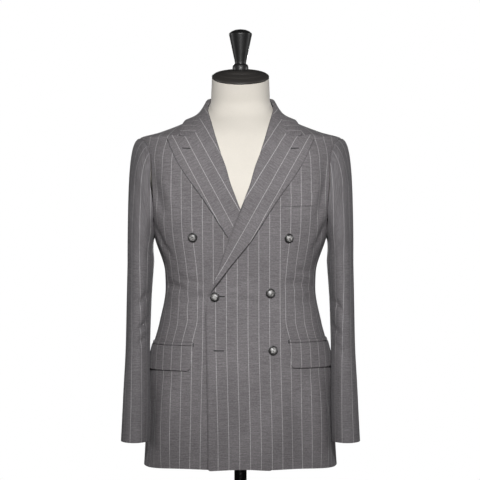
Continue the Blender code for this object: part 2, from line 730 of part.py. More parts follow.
def add_stand(black):
    rings = [tilted_ring(ring, FORM_NECK_MIDDLE, round_angles(FORM_SIDES)) for ring in CAP]
    stacked("neck_cap", rings, black, HARD_ANGLE)
    finial = turned("finial", FINIAL_PROFILE, black, FINIAL_SIDES)
    finial.location = (0, FORM_NECK_MIDDLE, FINIAL_FOOT)
    pole = (Turned(POLE_RADIUS, BASE_TOP + SEAM), Turned(POLE_RADIUS, FORM_BOTTOM - SEAM))
    turned("pole", pole, black, POLE_SIDES)
    turned("base", BASE_PROFILE, black, BASE_SIDES)


# ---- The whole object ----------------------------------------------------------------------

def clear_scene():
    for obj in list(bpy.data.objects):
        bpy.data.objects.remove(obj)


def main():
    clear_scene()
    suiting = material_of("suiting", SUIT_GREY, 0.85)
    linen = material_of("form_linen", LINEN, 0.80)
    black = material_of("black_lacquer", BLACK, 0.30)
    horn = material_of("horn", HORN, 0.35)
    for side in ("left", "right"):
        add_panels(side, suiting)
        add_sleeve(side, suiting)
        add_lapel(side, suiting)
    add_collar(suiting)
    for flap in FLAPS:
        add_hip_pocket(flap, suiting)
    add_breast_welt(suiting)
    for button in BUTTONS:
        add_button(button, horn)
    add_form(linen)
    add_stand(black)


main()
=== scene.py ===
"""The looks of a double breasted blazer on a dress form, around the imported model.

Metres, +Z up, the origin on the floor under the base, the front towards -Y and the wearer's left
towards +X. Cloth is a thin shell over one body surface, a stack of level rings: a place on it is
an angle round the ring in degrees (0 at the front, 90 at the wearer's left, 180 at the back), a
height, and a lift off it. The right side is the left one's mirror image with creases of its own.
A cloth map in metres on each piece carries the stripes and the weave.
"""

import math
from collections import namedtuple
from functools import reduce

import bpy
import numpy as np
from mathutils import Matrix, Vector


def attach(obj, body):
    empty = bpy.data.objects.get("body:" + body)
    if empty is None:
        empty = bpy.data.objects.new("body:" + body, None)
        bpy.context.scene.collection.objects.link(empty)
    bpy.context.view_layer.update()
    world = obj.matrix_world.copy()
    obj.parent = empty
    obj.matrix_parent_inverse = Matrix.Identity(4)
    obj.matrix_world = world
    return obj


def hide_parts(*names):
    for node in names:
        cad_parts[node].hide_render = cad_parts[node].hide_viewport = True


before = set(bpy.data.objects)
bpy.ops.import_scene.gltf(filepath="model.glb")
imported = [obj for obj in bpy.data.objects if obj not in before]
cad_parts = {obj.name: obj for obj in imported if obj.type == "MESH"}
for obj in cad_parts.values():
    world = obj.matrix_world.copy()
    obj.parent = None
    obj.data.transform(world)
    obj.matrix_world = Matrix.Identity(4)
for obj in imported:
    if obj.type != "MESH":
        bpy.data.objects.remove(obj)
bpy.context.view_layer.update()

# ---- Driving sizes, as in the CAD ----


def rows(fields, *values):
    """A table whose columns have names."""
    Row = namedtuple("Row", fields)
    return tuple(Row(*value) for value in values)


WALL, THIN_WALL = 0.002, 0.0012
SEAM, GORGE_GAP = 0.0003, 0.00021
LAYER = 0.0009  # between a piece and the piece that lies on it
COLLAR_LAYER = 0.003  # the same on the shoulders
COLLAR_LAYER_FROM, COLLAR_LAYER_TO = 1.43, 1.5

HEM, SHOULDER_TIP, NECK_SEAM = 0.817, 1.4985, 1.562
BREAK = 1.174  # where the roll line leaves the front edge

ARMHOLE_MIDDLE, ARMHOLE_HALF_HEIGHT = 1.395, 0.1035
ARMHOLE_HALF_ANGLE, ARMHOLE_ROUNDNESS = 22.0, 2.4
SIDE_SEAM_TURN = 144
FRONT_SIDE_SEAM_AT_HEM, BACK_SIDE_SEAM_AT_HEM = 70.0, 112.0

OVERLAP_LIFT = 0.0028
CROSSING_INNER, CROSSING_OUTER = 0.072, 0.12
CROSSING_TOP, CROSSING_END = 1.4, 1.5

# The jacket's outer surface from the hem to the top of the collar.
RINGS = rows("height half_width front side back roundness",
    (0.817, 0.2025, -0.135, 0.0, 0.128, 2.4), (1.042, 0.188, -0.122, 0.0, 0.116, 2.4),
    (1.113, 0.17, -0.116, 0.0, 0.104, 2.5), (1.187, 0.157, -0.113, 0.0, 0.098, 2.5),
    (1.218, 0.158, -0.115, 0.0, 0.1, 2.5), (1.292, 0.18, -0.125, 0.0, 0.113, 2.7),
    (1.338, 0.189, -0.13, 0.001, 0.119, 2.9), (1.403, 0.2, -0.128, 0.002, 0.121, 2.9),
    (1.445, 0.2045, -0.119, 0.003, 0.118, 2.6), (1.475, 0.208, -0.109, 0.003, 0.112, 2.3),
    (1.4985, 0.211, -0.098, 0.004, 0.104, 1.9), (1.5115, 0.1695, -0.091, 0.004, 0.0985, 1.95),
    (1.526, 0.1305, -0.081, 0.005, 0.0935, 2.0), (1.5344, 0.1115, -0.075, 0.005, 0.0905, 2.0),
    (1.5428, 0.0925, -0.069, 0.006, 0.087, 2.0), (1.5524, 0.0812, -0.063, 0.006, 0.082, 2.1),
    (1.5655, 0.0715, -0.057, 0.007, 0.0765, 2.1), (1.577, 0.0658, -0.055, 0.006, 0.072, 2.1),
    (1.595, 0.065, -0.054, 0.006, 0.071, 2.1))

EDGE = "out height"  # out from the middle of the front
FRONT_EDGE = rows(EDGE, (-0.0667, 0.817), (-0.067, 0.899), (-0.0696, 1.062), (-0.0712, 1.137),
    (-0.0648, BREAK))
ROLL_LINE = rows(EDGE, (-0.0648, BREAK), (-0.0564, 1.1905), (-0.0407, 1.239), (-0.0188, 1.3033),
    (0.0017, 1.3531), (0.0153, 1.389), (0.031, 1.43), (0.0374, 1.4546), (0.0483, 1.49), (0.0611, 1.5347),
    (0.068, NECK_SEAM))
LAPEL_EDGE = rows(EDGE, (-0.0632, BREAK), (-0.021, 1.2334), (0.0196, 1.2845), (0.0378, 1.3123),
    (0.0837, 1.3813), (0.0981, 1.4009), (0.1271, 1.444), (0.15, 1.4935))
GORGE = rows(EDGE, (0.068, NECK_SEAM), (0.0762, 1.544), (0.0838, 1.526), (0.0885, 1.513), (0.0916, 1.4995))
PEAK_TOP = rows(EDGE, (0.108, 1.4985), (0.1245, 1.4985), (0.1435, 1.502), (0.15, 1.4935))
NOTCH = rows(EDGE, (0.106, 1.4992), (0.1219, 1.4996))
COLLAR_FOLD = rows("angle height", (73.0, 1.563), (90.0, 1.578), (120.0, 1.5875), (180.0, 1.592))
COLLAR_EDGE = rows("angle height", (58.0, 1.501), (65.5, 1.518), (80.0, 1.5315), (90.0, 1.535),
    (112.0, 1.5385), (145.0, 1.5425), (180.0, 1.545))

FLAPS = rows("side front top bottom", ("left", 0.1, 1.0755, 1.024), ("right", 0.0985, 1.069, 1.0185))
FLAP_BACK_ANGLE = 97.0
FLAP_CORNER = 0.009
JETTING_HEIGHT, JETTING_CUT = 0.0055, 0.01  # as it shows, and as it's cut
POCKET_GAP = 0.0008  # of shadow on each side of a pocket's mouth

WELT_INNER, WELT_OUTER = 0.085, 0.15
WELT_BOTTOM, WELT_TOP = 1.354, 1.3805
WELT_RISE, WELT_LEAN = 0.0035, 0.012

# turn is how far a button is turned on its thread.
BUTTONS = rows("name side out height turn", ("button_upper_left", "left", 0.098, 1.2911, 12),
    ("button_upper_right", "right", 0.0978, 1.2922, 38), ("button_middle_left", "left", 0.0605, 1.1775, 63),
    ("button_fastened", "left", -0.0518, 1.1698, 20), ("button_lower_left", "left", 0.066, 1.0604, 50))
BUTTON_RADIUS = 0.01
BUTTON_STANDOFF = 0.0006

SLEEVE = rows("height middle_out middle_y half_width half_depth",
    (0.87, 0.2173, -0.09, 0.0291, 0.053), (0.955, 0.215, -0.072, 0.028, 0.056),
    (1.075, 0.2135, -0.038, 0.0255, 0.062), (1.154, 0.2122, -0.018, 0.0259, 0.067),
    (1.24, 0.2088, -0.006, 0.0278, 0.072))
SLEEVE_TOP, CUFF = 1.24, 0.87
CUFF_RAISE = 0.0035  # the cuff's edge is turned up
SLEEVE_SET_IN = 0.0001
SLEEVE_LEAVING, SLEEVE_LEAVING_AT_TOP = np.array([0.35, 0, -0.9]), np.array([0.65, 0, 0.85])
SLEEVE_LEAVING_FORWARD = np.array([0, 0.2, 0])
SLEEVE_FIRST_PULL, SLEEVE_FIRST_PULL_AT_TOP = 0.33, -0.25
SLEEVE_LAST_PULL, SLEEVE_LAST_PULL_AT_TOP = 0.33, 0.44
FOREARM_SEAM_TURN, ELBOW_SEAM_TURN = 126, 252

FORM_BOTTOM, FORM_NECK_FOOT = 0.87, 1.568
FORM_NECK_MIDDLE, NECK_FOOT_MIDDLE = -0.003, 0.006
NECK_TILT = math.radians(16.7)
FORM_INSET = rows("height depth", (0.87, 0.012), (1.42, 0.0105), (1.48, 0.0066), (1.515, 0.0036),
    (1.545, 0.0036), (1.595, 0.0045))
NECK = rows("height radius tilt", (1.578, 0.062, 0.15), (1.592, 0.0614, 0.45), (1.61, 0.0605, 0.8),
    (1.6255, 0.06, 1.0))
CAP = rows("height radius tilt", (1.6258, 0.06, 1.0), (1.6293, 0.06, 1.0), (1.6318, 0.0565, 1.0),
    (1.6334, 0.047, 0.9), (1.6352, 0.0455, 0.9), (1.6368, 0.033, 0.7), (1.6386, 0.0315, 0.6),
    (1.64, 0.0215, 0.0))

# ---- Sizes of the visual alone ----

GRID = 0.0036  # the usual distance between two points of cloth
SUPPORT = 0.0008  # how far in from an edge a line of points holds the cloth's shape
EDGE_BULGE, THIN_BULGE, SEAM_BULGE = 0.0005, 0.0003, 0.0001  # how far an edge rounds out
ROLL_TURNS = np.radians(np.arange(-90, 90, 18))  # round a lapel's or the collar's fold
ROLL_RAISE = 0.0016  # how much further off a lapel stands beside its fold
ROLL_REACH = 0.03  # how far across the lapel that fades
ROLL_TAPER = 0.022  # the height over which the fold opens from the front edge
LAPEL_EDGE_OPEN = {"left": 0.0058, "right": 0.00348}  # how far its outer edge lifts lower down
ROLL_OPEN = 0.004  # how much further the lapel stands off over the fastened button
FRONT_EDGE_OPEN = 0.004
EDGE_PRESSED = 0.0026  # how far a pressed edge turns in
FRONT_CORNER = 0.007  # at the foot of a front edge
COLLAR_WIDTH = 0.055
COLLAR_DROP = 0.0034  # the fold's rise over the line that its two layers leave
PANEL_WIDTH, GROOVED_WIDTH, SIDE_WIDTH = 0.24, 0.22, 0.12  # round about, for grids and grooves

# The finial, the pole and the base as turned, by (radius, height) from each one's own foot.
FINIAL_FOOT, POLE_RADIUS, BASE_TOP = 1.6403, 0.013, 0.026
FINIAL_TURNED = ((0.0158, 0.0), (0.0166, 0.002), (0.0168, 0.007), (0.0158, 0.0115), (0.0138, 0.0138),
    (0.0118, 0.0146), (0.0117, 0.0165), (0.0122, 0.02), (0.0242, 0.0765), (0.0238, 0.0787), (0.019, 0.0828),
    (0.011, 0.0861), (0.0012, 0.0873))
BASE_TURNED = ((0.1885, 0.0), (0.19, 0.0012), (0.19, 0.0098), (0.1885, 0.0118), (0.186, 0.014),
    (0.13, 0.0163), (0.06, 0.02), (0.04, 0.0235), (0.03, BASE_TOP - 0.0006), (0.0285, BASE_TOP))
BUTTON_RIM = ((0.006, -0.0002), (0.0078, 0.0002), (0.0094, 0.0009), (BUTTON_RADIUS, 0.0021), (0.0095, 0.003),
    (0.0088, 0.0032), (0.0086, 0.0031))

BODY_RADIUS, SLEEVE_RADIUS, SLEEVE_SEAM_RADIUS = 0.16, 0.052, 0.045  # round about, likewise
GROOVE_DEPTH, GROOVE_WIDTH, DART_GROOVE_WIDTH = 0.0005, 0.0016, 0.0022  # beside a sewn seam
HEM_SWING_HEIGHT = 0.09  # over which the hem's swing fades
ROPE_LIFT, ROPE_SHARE, ROPE_WIDTH = 0.0003, 0.06, 0.04  # the ridge at a sleeve's head
STITCH_RADIUS, STITCH_SIDES = 0.00046, 6
SILK_RADIUS, SILK_SIDES, SILK_RIPPLE, SLIT_HALF_WIDTH = 0.0007, 8, 0.16, 0.00042  # of a buttonhole
CROWN_RADIUS, CROWN_FOOT, CROWN_HEIGHT = 0.0086, 0.0031, 0.0042  # of a button
BUTTON_SIDES = 72
CLOTH_TOP, LAPEL_TOP = 0.0002, WALL + COLLAR_LAYER + 0.0004  # where a buttonhole's silk lies
FORM_SIDES, FORM_STEP, NECK_STEPS = 144, 0.004, 33
SMOOTHINGS = 60  # rounds of smoothing at the front of the form's neck

STRIPE_PITCH, STRIPE_HALF_WIDTH = 0.022, 0.00048
# Where a stripe falls, in metres round each piece.
STRIPE_ON_FRONT = {"left": -0.0014, "right": 0.0175}
STRIPE_ON_SLEEVE = {"left": 0.0105, "right": 0.017}
STRIPE_ON_BACK = STRIPE_ON_COLLAR = 0.011
STRIPE_LEAN = 0.0052  # how far a front's stripes move towards its edge from the hem to the waist
SHOULDER_LEAN, SHOULDER_LEAN_FROM = 0.013, 1.447  # the same towards the neck, over the shoulder
# Where a lapel's first stripe crosses a level line, how it leans, and how much more by the fold.
LAPEL_STRIPE_HEIGHT = 1.4974
LAPEL_STRIPES = {"left": (0.1403, 0.567, 0.09), "right": (0.1378, 0.537, 0.05)}

DART_OUT, DART_WIDTH = 0.086, 0.01
DART_FOOT, DART_FOOT_END, DART_WAIST, DART_TOP = 1.07, 1.125, 1.187, 1.325

UP = np.array([0, 0, 1.0])
FLIP_X = np.array([-1.0, 1.0, 1.0])
FLIP_ACROSS = np.array([-1.0, 1.0])

# ---- Smooth tables ----


class Curve:
    """A smooth curve through a table's rows, which never overshoots them."""

    def __init__(self, places, values):
        self.places, self.values = np.array(places, float), np.array(values, float)
        rises = np.diff(self.values) / np.diff(self.places)
        before, after = rises[:-1], rises[1:]
        same_way = before * after > 0
        total = np.where(same_way, before + after, 1.0)
        inner = np.where(same_way, 2 * before * after / total, 0.0)
        self.slopes = np.concatenate([rises[:1], inner, rises[-1:]])

    def __call__(self, place):
        place = np.clip(place, self.places[0], self.places[-1])
        row = np.clip(np.searchsorted(self.places, place, "right") - 1, 0, len(self.places) - 2)
        span = self.places[row + 1] - self.places[row]
        part = (place - self.places[row]) / span
        rest = 1 - part
        return (self.values[row] * rest * rest * (1 + 2 * part)
                + self.values[row + 1] * part * part * (1 + 2 * rest)
                + span * part * rest * (self.slopes[row] * rest - self.slopes[row + 1] * part))


def curves_of(table):
    """One curve over height for each other column of a table."""
    heights = [row.height for row in table]
    return {name: Curve(heights, [getattr(row, name) for row in table])
            for name in table[0]._fields if name != "height"}


RING_CURVES, SLEEVE_CURVES = curves_of(RINGS), curves_of(SLEEVE)
INSET_CURVE = curves_of(FORM_INSET)["depth"]
FRONT_EDGE_OUT, ROLL_LINE_OUT, LAPEL_EDGE_OUT = (
    curves_of(table)["out"] for table in (FRONT_EDGE, ROLL_LINE, LAPEL_EDGE))


def mix(a, b, share):
    return a + (b - a) * share


def rise_between(value, start, end):
    """0 at start, 1 at end, and smooth between."""
    part = np.clip((value - start) / (end - start), 0.0, 1.0)
    return part * part * (3 - 2 * part)


def unit(vectors):
    return vectors / np.maximum(np.linalg.norm(vectors, axis=-1, keepdims=True), 1e-12)


def lengths_along(points, axis):
    """How far along its row or column each point lies."""
    steps = np.linalg.norm(np.diff(points, axis=axis), axis=-1)
    return np.concatenate([np.zeros_like(steps.take([0], axis)), np.cumsum(steps, axis=axis)], axis=axis)


def looked_up(table, row, column):
    """A table's value between four of its entries."""
    row, column = (np.clip(place, 0, size - 1.001) for place, size in zip((row, column), table.shape))
    i, j = row.astype(int), column.astype(int)
    low = mix(table[i, j], table[i, j + 1], column - j)
    return mix(low, mix(table[i + 1, j], table[i + 1, j + 1], column - j), row - i)


def with_more(shares, more):
    return np.sort(np.concatenate([shares, more]))


def shares_for(length, first=SUPPORT, last=SUPPORT):
    """Shares from 0 to 1 about a grid's step apart, with support lines beside both ends."""
    inner = np.linspace(0, 1, max(int(round(length / GRID)), 3) + 1)[1:-1]
    return np.concatenate([[0, first / length], inner, [1 - last / length, 1]])


# ---- The body surface ----

def surface(angle, height):
    """The points at angles round the jacket's rings at heights."""
    ring = {name: curve(height) for name, curve in RING_CURVES.items()}
    across, forward = np.sin(np.radians(angle)), np.cos(np.radians(angle))
    depth = np.where(forward > 0, ring["side"] - ring["front"], ring["back"] - ring["side"])
    power = ring["roundness"]
    size = (np.abs(across) / ring["half_width"]) ** power + (np.abs(forward) / depth) ** power
    reach = size ** (-1 / power)
    return np.stack(np.broadcast_arrays(reach * across, ring["side"] - reach * forward, height), -1)


def outward(angle, height):
    """The surface's outward directions."""
    turn, rise = 0.5, 0.002
    around = surface(angle + turn, height) - surface(angle - turn, height)
    above = np.minimum(height + rise, RINGS[-1].height)
    return unit(np.cross(around, surface(angle, above) - surface(angle, above - 2 * rise)))


def front_angle(out, height):
    """The angle of the point on the front that lies a distance out from the middle."""
    half_width, power = RING_CURVES["half_width"](height), RING_CURVES["roundness"](height)
    depth = RING_CURVES["side"](height) - RING_CURVES["front"](height)
    share = np.minimum(np.abs(out) / half_width, 1.0)
    return np.degrees(np.arctan2(out, depth * (1 - share ** power) ** (1 / power)))


def place_of(out, height):
    return np.stack(np.broadcast_arrays(front_angle(out, height), height), -1)


ARC_ANGLES = np.arange(-60.0, 181.0, 1.0)
ARC_HEIGHTS = np.arange(HEM - 0.005, RINGS[-1].height + 0.005, 0.005)
# The arc from the front's middle to each angle, at each height.
ARCS = lengths_along(surface(ARC_ANGLES[None, :], ARC_HEIGHTS[:, None])[..., :2], 1)
ARCS = ARCS - ARCS[:, np.searchsorted(ARC_ANGLES, 0.0), None]


def arc_to(angle, height):
    """The arc from the front's middle to an angle, in metres."""
    row = (height - ARC_HEIGHTS[0]) / (ARC_HEIGHTS[1] - ARC_HEIGHTS[0])
    return looked_up(ARCS, row, angle - ARC_ANGLES[0])


Place = namedtuple("Place", "angle height")


def armhole(turn):
    """The places on the left armhole's edge at turns from its top, towards the front."""
    across, up = (np.sign(way) * np.abs(way) ** (2 / ARMHOLE_ROUNDNESS)
                  for way in (np.sin(np.radians(turn)), np.cos(np.radians(turn))))
    return Place(90 - ARMHOLE_HALF_ANGLE * across, ARMHOLE_MIDDLE + ARMHOLE_HALF_HEIGHT * up)


def seam_angle(radius=BODY_RADIUS):
    return math.degrees(SEAM / 2 / radius)


# ---- Creases ----

# Soft troughs (a depth under 0) and ridges on the body, each with an angle and a height, those of
# its other end, and in millimetres how far its middle is moved sideways, its width and its depth.
# Both fronts pull towards the fastened button, and the back is guessed.
METRES_PER_DEGREE = 0.0028  # round the body
CREASES = {
    "left": (
        (-17, 1.163, 26, 1.148, 6, 8.5, -1.3), (-15, 1.182, 18, 1.222, -6, 9, -1),
        (-19, 1.155, 4, 1.095, 5, 10, -0.8), (38, 1.196, 72, 1.182, 4, 11, -2),
        (44, 1.166, 76, 1.158, -3, 9, -1.2), (50, 1.221, 70, 1.214, 3, 8, -1.1),
        (64, 1.452, 58, 1.318, 4, 10.5, -2.4), (58, 1.44, 52, 1.342, 3, 11, 1.2),
        (70, 1.33, 62, 1.262, 2, 10, -1.7), (30, 1.47, 52, 1.452, 4, 17, -1),
        (60, 1.01, 63, 0.815, 4, 24, 2.4), (47, 0.985, 45, 0.815, -3, 19, -1.5),
        (25, 0.96, 22, 0.815, 2, 26, 1), (78, 0.99, 80, 0.815, -3, 20, -2.2),
        (96, 1.2, 134, 1.186, 5, 11, -2.2), (104, 1.17, 150, 1.176, -4, 10, -1.7),
        (118, 1.225, 160, 1.214, 4, 12, -1.8), (118, 1.44, 128, 1.27, -6, 13, -2.8),
        (130, 1.43, 140, 1.3, -5, 14, 1.6), (150, 1.462, 168, 1.446, 4, 16, -1.2),
        (120, 1.02, 117, 0.815, 4, 24, 2.8), (140, 1.0, 141, 0.815, -3, 23, -2.1),
        (163, 0.98, 160, 0.815, 3, 26, 1.8)),
    "right": (
        (30, 1.17, 58, 1.15, 5, 9.5, -1.6), (33, 1.196, 62, 1.212, -4, 8.5, -1.3),
        (34, 1.142, 55, 1.105, 4, 9, -0.9), (50, 1.182, 77, 1.19, 3, 10, -2.1),
        (66, 1.448, 57, 1.33, 5, 11.5, -2.6), (57, 1.43, 50, 1.352, 2, 10, 1.3),
        (71, 1.322, 60, 1.248, 4, 9, -1.5), (32, 1.476, 50, 1.455, 4, 15, -0.9),
        (56, 1.0, 59, 0.815, 3, 25, 2.2), (42, 0.99, 41, 0.815, -4, 21, -1.3),
        (74, 0.985, 77, 0.815, -4, 19, -2.4), (99, 1.19, 140, 1.196, 4, 12, -2.4),
        (108, 1.162, 146, 1.158, 4, 9, -1.3), (122, 1.228, 165, 1.236, -5, 11, -1.6),
        (119, 1.452, 131, 1.286, -5, 12, -3), (133, 1.42, 142, 1.318, -4, 13, 1.5),
        (146, 1.47, 166, 1.458, 3, 15, -1), (116, 1.015, 120, 0.815, 4, 23, 2.6),
        (138, 0.995, 136, 0.815, -4, 22, -2.3), (160, 0.985, 165, 0.815, 3, 25, 1.6)),
}

# On a sleeve a place is a turn from its outer side towards the front, and a share from 0 at the
# armhole through 1 at the first level ring to 2 at the cuff.
SLEEVE_METRES_PER_DEGREE = 0.0009
SLEEVE_HEAD_LENGTH, SLEEVE_TUBE_LENGTH = 0.23, 0.37
SLEEVE_CREASES = {
    "left": (
        (96, 0.3, 46, 0.86, 10, 13, -2.4), (70, 0.42, 30, 0.98, 8, 15, 1.4),
        (118, 0.62, 78, 1.08, 8, 11, -2), (150, 1.22, 72, 1.34, 8, 9.5, -2.6),
        (165, 1.34, 84, 1.41, -6, 8.5, -2.2), (140, 1.46, 66, 1.58, 6, 10, -1.8),
        (120, 1.29, 60, 1.27, 4, 9, 1.2), (40, 1.1, 20, 1.6, 5, 14, -1.2), (100, 1.7, 70, 1.9, 4, 11, -1.2),
        (-40, 0.35, -20, 0.9, 6, 14, -2), (-70, 0.6, -45, 1.15, 6, 14, -1.8),
        (-60, 1.3, -95, 1.42, 5, 11, -2.2), (-50, 1.48, -88, 1.54, 4, 10, -1.6)),
    "right": (
        (92, 0.26, 50, 0.8, 9, 12, -2.6), (66, 0.46, 34, 1.04, 7, 15, 1.3),
        (122, 0.58, 84, 1.02, 8, 11, -2.2), (155, 1.18, 80, 1.28, 7, 9, -2.4),
        (160, 1.3, 70, 1.4, -6, 9.5, -2.6), (150, 1.42, 74, 1.5, 6, 9, -1.9),
        (42, 1.16, 26, 1.66, 5, 14, -1.3), (108, 1.66, 80, 1.84, 4, 11, -1.3),
        (-36, 0.4, -24, 0.96, 6, 14, -2.1), (-74, 0.55, -50, 1.1, 6, 13, -1.7),
        (-64, 1.26, -98, 1.36, 5, 11, -2.3), (-52, 1.44, -84, 1.52, 4, 10, -1.5)),
}
CREASE_STEPS = 10
CREASE_DEPTH, SLEEVE_CREASE_DEPTH = 2.2, 1.5
CREASE_LEAN = 0.45  # how much steeper a crease is on one side


def crease_lift(across, along, start, end, bow, width, depth):
    """What one crease adds at places given in metres across and along the cloth."""
    start, end = np.array(start, float), np.array(end, float)
    sideways = unit(np.array([-(end - start)[1], (end - start)[0]]))
    lift, nearest = np.zeros(across.shape), np.full(across.shape, np.inf)
    shares = np.linspace(0, 1, CREASE_STEPS + 1)
    line = [mix(start, end, share) + sideways * bow * 4 * share * (1 - share) for share in shares]
    for step, (a, b) in enumerate(zip(line, line[1:])):
        way = b - a
        x, y = across - a[0], along - a[1]
        part = np.clip((x * way[0] + y * way[1]) / float(way @ way), 0, 1)
        away = np.hypot(x - part * way[0], y - part * way[1])
        offset = np.sign(way[0] * y - way[1] * x) * away / width
        share = (step + part) / CREASE_STEPS
        strength = np.sin(np.pi * np.clip(share, 0.02, 0.98)) ** 0.6
        here = strength * np.exp(-offset ** 2) * (1 + CREASE_LEAN * np.tanh(offset))
        lift = np.where(away < nearest, depth * here, lift)
        nearest = np.minimum(nearest, away)
    return lift


def body_relief(side, angle, height):
    """What the creases add to one side of the body."""
    scale = METRES_PER_DEGREE
    lift = np.zeros(np.broadcast(angle, height).shape)
    for at, level, to_at, to_level, *small in CREASES.get(side, ()):
        bow, width, depth = np.array(small) / 1000
        lift += crease_lift(angle * scale, height, (at * scale, level), (to_at * scale, to_level),
                            bow, width, depth * CREASE_DEPTH)
    return lift


def dart_groove(angle, height):
    """A pressed seam down the dart from the chest to the pocket."""
    inside = (rise_between(height, DART_FOOT_END, DART_FOOT_END + 0.02)
              * (1 - rise_between(height, DART_TOP - 0.03, DART_TOP)))
    away = surface(angle, height)[..., 0] - DART_OUT
    return -GROOVE_DEPTH * np.exp(-(away / DART_GROOVE_WIDTH) ** 2) * inside


def crossing_lift(side, points):
    """How far a front stands out, or in, where the two fronts lie on each other."""
    share = 1 - rise_between(points[..., 0], CROSSING_INNER, CROSSING_OUTER)
    share = share * (1 - rise_between(points[..., 2], CROSSING_TOP, CROSSING_END))
    return (OVERLAP_LIFT if side == "left" else -OVERLAP_LIFT) * share


def edge_lift(side, base):
    """The left front's free edge stands off a little under the button."""
    if side == "right":
        return 0.0
    away = base[..., 0] - FRONT_EDGE_OUT(np.clip(base[..., 2], HEM, BREAK))
    below = 1 - rise_between(base[..., 2], BREAK - 0.035, BREAK - 0.008)
    pressed = EDGE_PRESSED * np.exp(-(away / 0.0025) ** 2)
    return (FRONT_EDGE_OPEN * (1 - rise_between(away, 0.0, 0.02)) - pressed) * below


def body_points(side, angle, height, lift, is_front=True):
    """Points off one side of the body, as on the left. A front has its crossing lift too."""
    base = surface(angle, height)
    total = lift + body_relief(side, angle, height)
    if is_front:
        total = total + crossing_lift(side, base) + dart_groove(angle, height) + edge_lift(side, base)
    return base + outward(angle, height) * total[..., None]


def collar_lift(height):
    """What the lapels and the collar stand off the shoulders by, their layer's gap included."""
    return LAYER + (COLLAR_LAYER - LAYER) * rise_between(height, COLLAR_LAYER_FROM, COLLAR_LAYER_TO)


# ---- Where the cloth's threads run ----

def front_threads(side, angle, height):
    """Across and along the cloth of a front, with what its dart swallows left out."""
    first = STRIPE_ON_FRONT[side] - STRIPE_LEAN * rise_between(height, 0.83, 1.12)
    first = first - SHOULDER_LEAN * np.clip((height - SHOULDER_LEAN_FROM) / 0.06, 0, 2) ** 1.5
    taken = rise_between(height, DART_FOOT, DART_FOOT_END) * (1 - rise_between(height, DART_WAIST, DART_TOP))
    past = rise_between(surface(angle, height)[..., 0], DART_OUT - 0.0006, DART_OUT + 0.0006)
    return np.stack([arc_to(angle, height) + DART_WIDTH * taken * past - first, height], -1)


def threads_from(middle, angle, height, first=0.0):
    """Across and along the cloth from an upright line."""
    start = arc_to(np.full(angle.shape, middle), height)
    return np.stack([arc_to(angle, height) - start - first, height], -1)


def lapel_threads(side, out, height):
    """A lapel's stripes are straight, and near the fold they lean more."""
    start, lean, more = LAPEL_STRIPES[side]
    above = height - LAPEL_STRIPE_HEIGHT
    slope = np.full(np.shape(out), lean)
    for _ in range(4):
        across = (start + slope * above - out) / np.sqrt(1 + slope ** 2)
        slope = lean + more * rise_between(across, 0.025, 0.06)
    return np.stack([across, (above + slope * (out - start)) / np.sqrt(1 + slope ** 2)], -1)


# ---- Meshes ----

def edge_directions(points):
    """At the border, the direction away from the grid; elsewhere nothing that is used."""
    way = np.zeros(points.shape)
    way[0] += unit(points[0] - points[2])
    way[-1] += unit(points[-1] - points[-3])
    way[:, 0] += unit(points[:, 0] - points[:, 2])
    way[:, -1] += unit(points[:, -1] - points[:, -3])
    return unit(way)


def quads_of(index):
    return np.stack([index[:-1, :-1], index[:-1, 1:], index[1:, 1:], index[1:, :-1]], -1).reshape(-1, 4)


def add_mesh(name, vertices, faces, material, layer=None, flat=None):
    """A smooth mesh. flat is each vertex's place on the named map."""
    mesh = bpy.data.meshes.new(name)
    mesh.from_pydata(vertices.tolist(), [], faces)
    mesh.polygons.foreach_set("use_smooth", np.ones(len(faces), bool))
    if layer:
        corners = np.zeros(len(mesh.loops), np.int32)
        mesh.loops.foreach_get("vertex_index", corners)
        places = mesh.uv_layers.new(name=layer)
        places.data.foreach_set("uv", flat[corners].astype(np.float32).ravel())
    mesh.materials.append(material)
    obj = bpy.data.objects.new(name, mesh)
    bpy.context.scene.collection.objects.link(obj)
    return obj


def shell(name, side, points, threads, wall, material, normals, bulge):
    """A closed wall under a grid of outer points whose rows run upwards and whose columns run round
    towards the wearer's left. A piece on the right is given as on the left and mirrored here."""
    if side == "right":
        points, normals, threads = points[:, ::-1] * FLIP_X, normals[:, ::-1] * FLIP_X, threads[:, ::-1]
        if np.ndim(wall) > 1:
            wall = wall[:, ::-1]
    inner = points - normals * wall
    middle = (points + inner) / 2 + edge_directions(points) * bulge
    index = np.arange(points[..., 0].size).reshape(points.shape[:2])
    rim = np.concatenate([index[0], index[1:, -1], index[-1, -2::-1], index[-2:0:-1, 0]])
    edge = np.arange(len(rim)) + 2 * index.size
    after, edge_after = np.roll(rim, -1), np.roll(edge, -1)
    faces = np.concatenate([
        quads_of(index), quads_of(index)[:, ::-1] + index.size, np.stack([rim, edge, edge_after, after], -1),
        np.stack([edge, rim + index.size, after + index.size, edge_after], -1)])
    vertices = np.concatenate([points.reshape(-1, 3), inner.reshape(-1, 3), middle.reshape(-1, 3)[rim]])
    flat = threads.reshape(-1, 2)
    flat = np.concatenate([flat, flat, flat[rim]])
    return add_mesh(name, vertices, faces.tolist(), material, "Cloth", flat)


def own(obj, node):
    """The piece rides on the one body and stands for its node."""
    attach(obj, "root")
    if node:
        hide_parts(node)


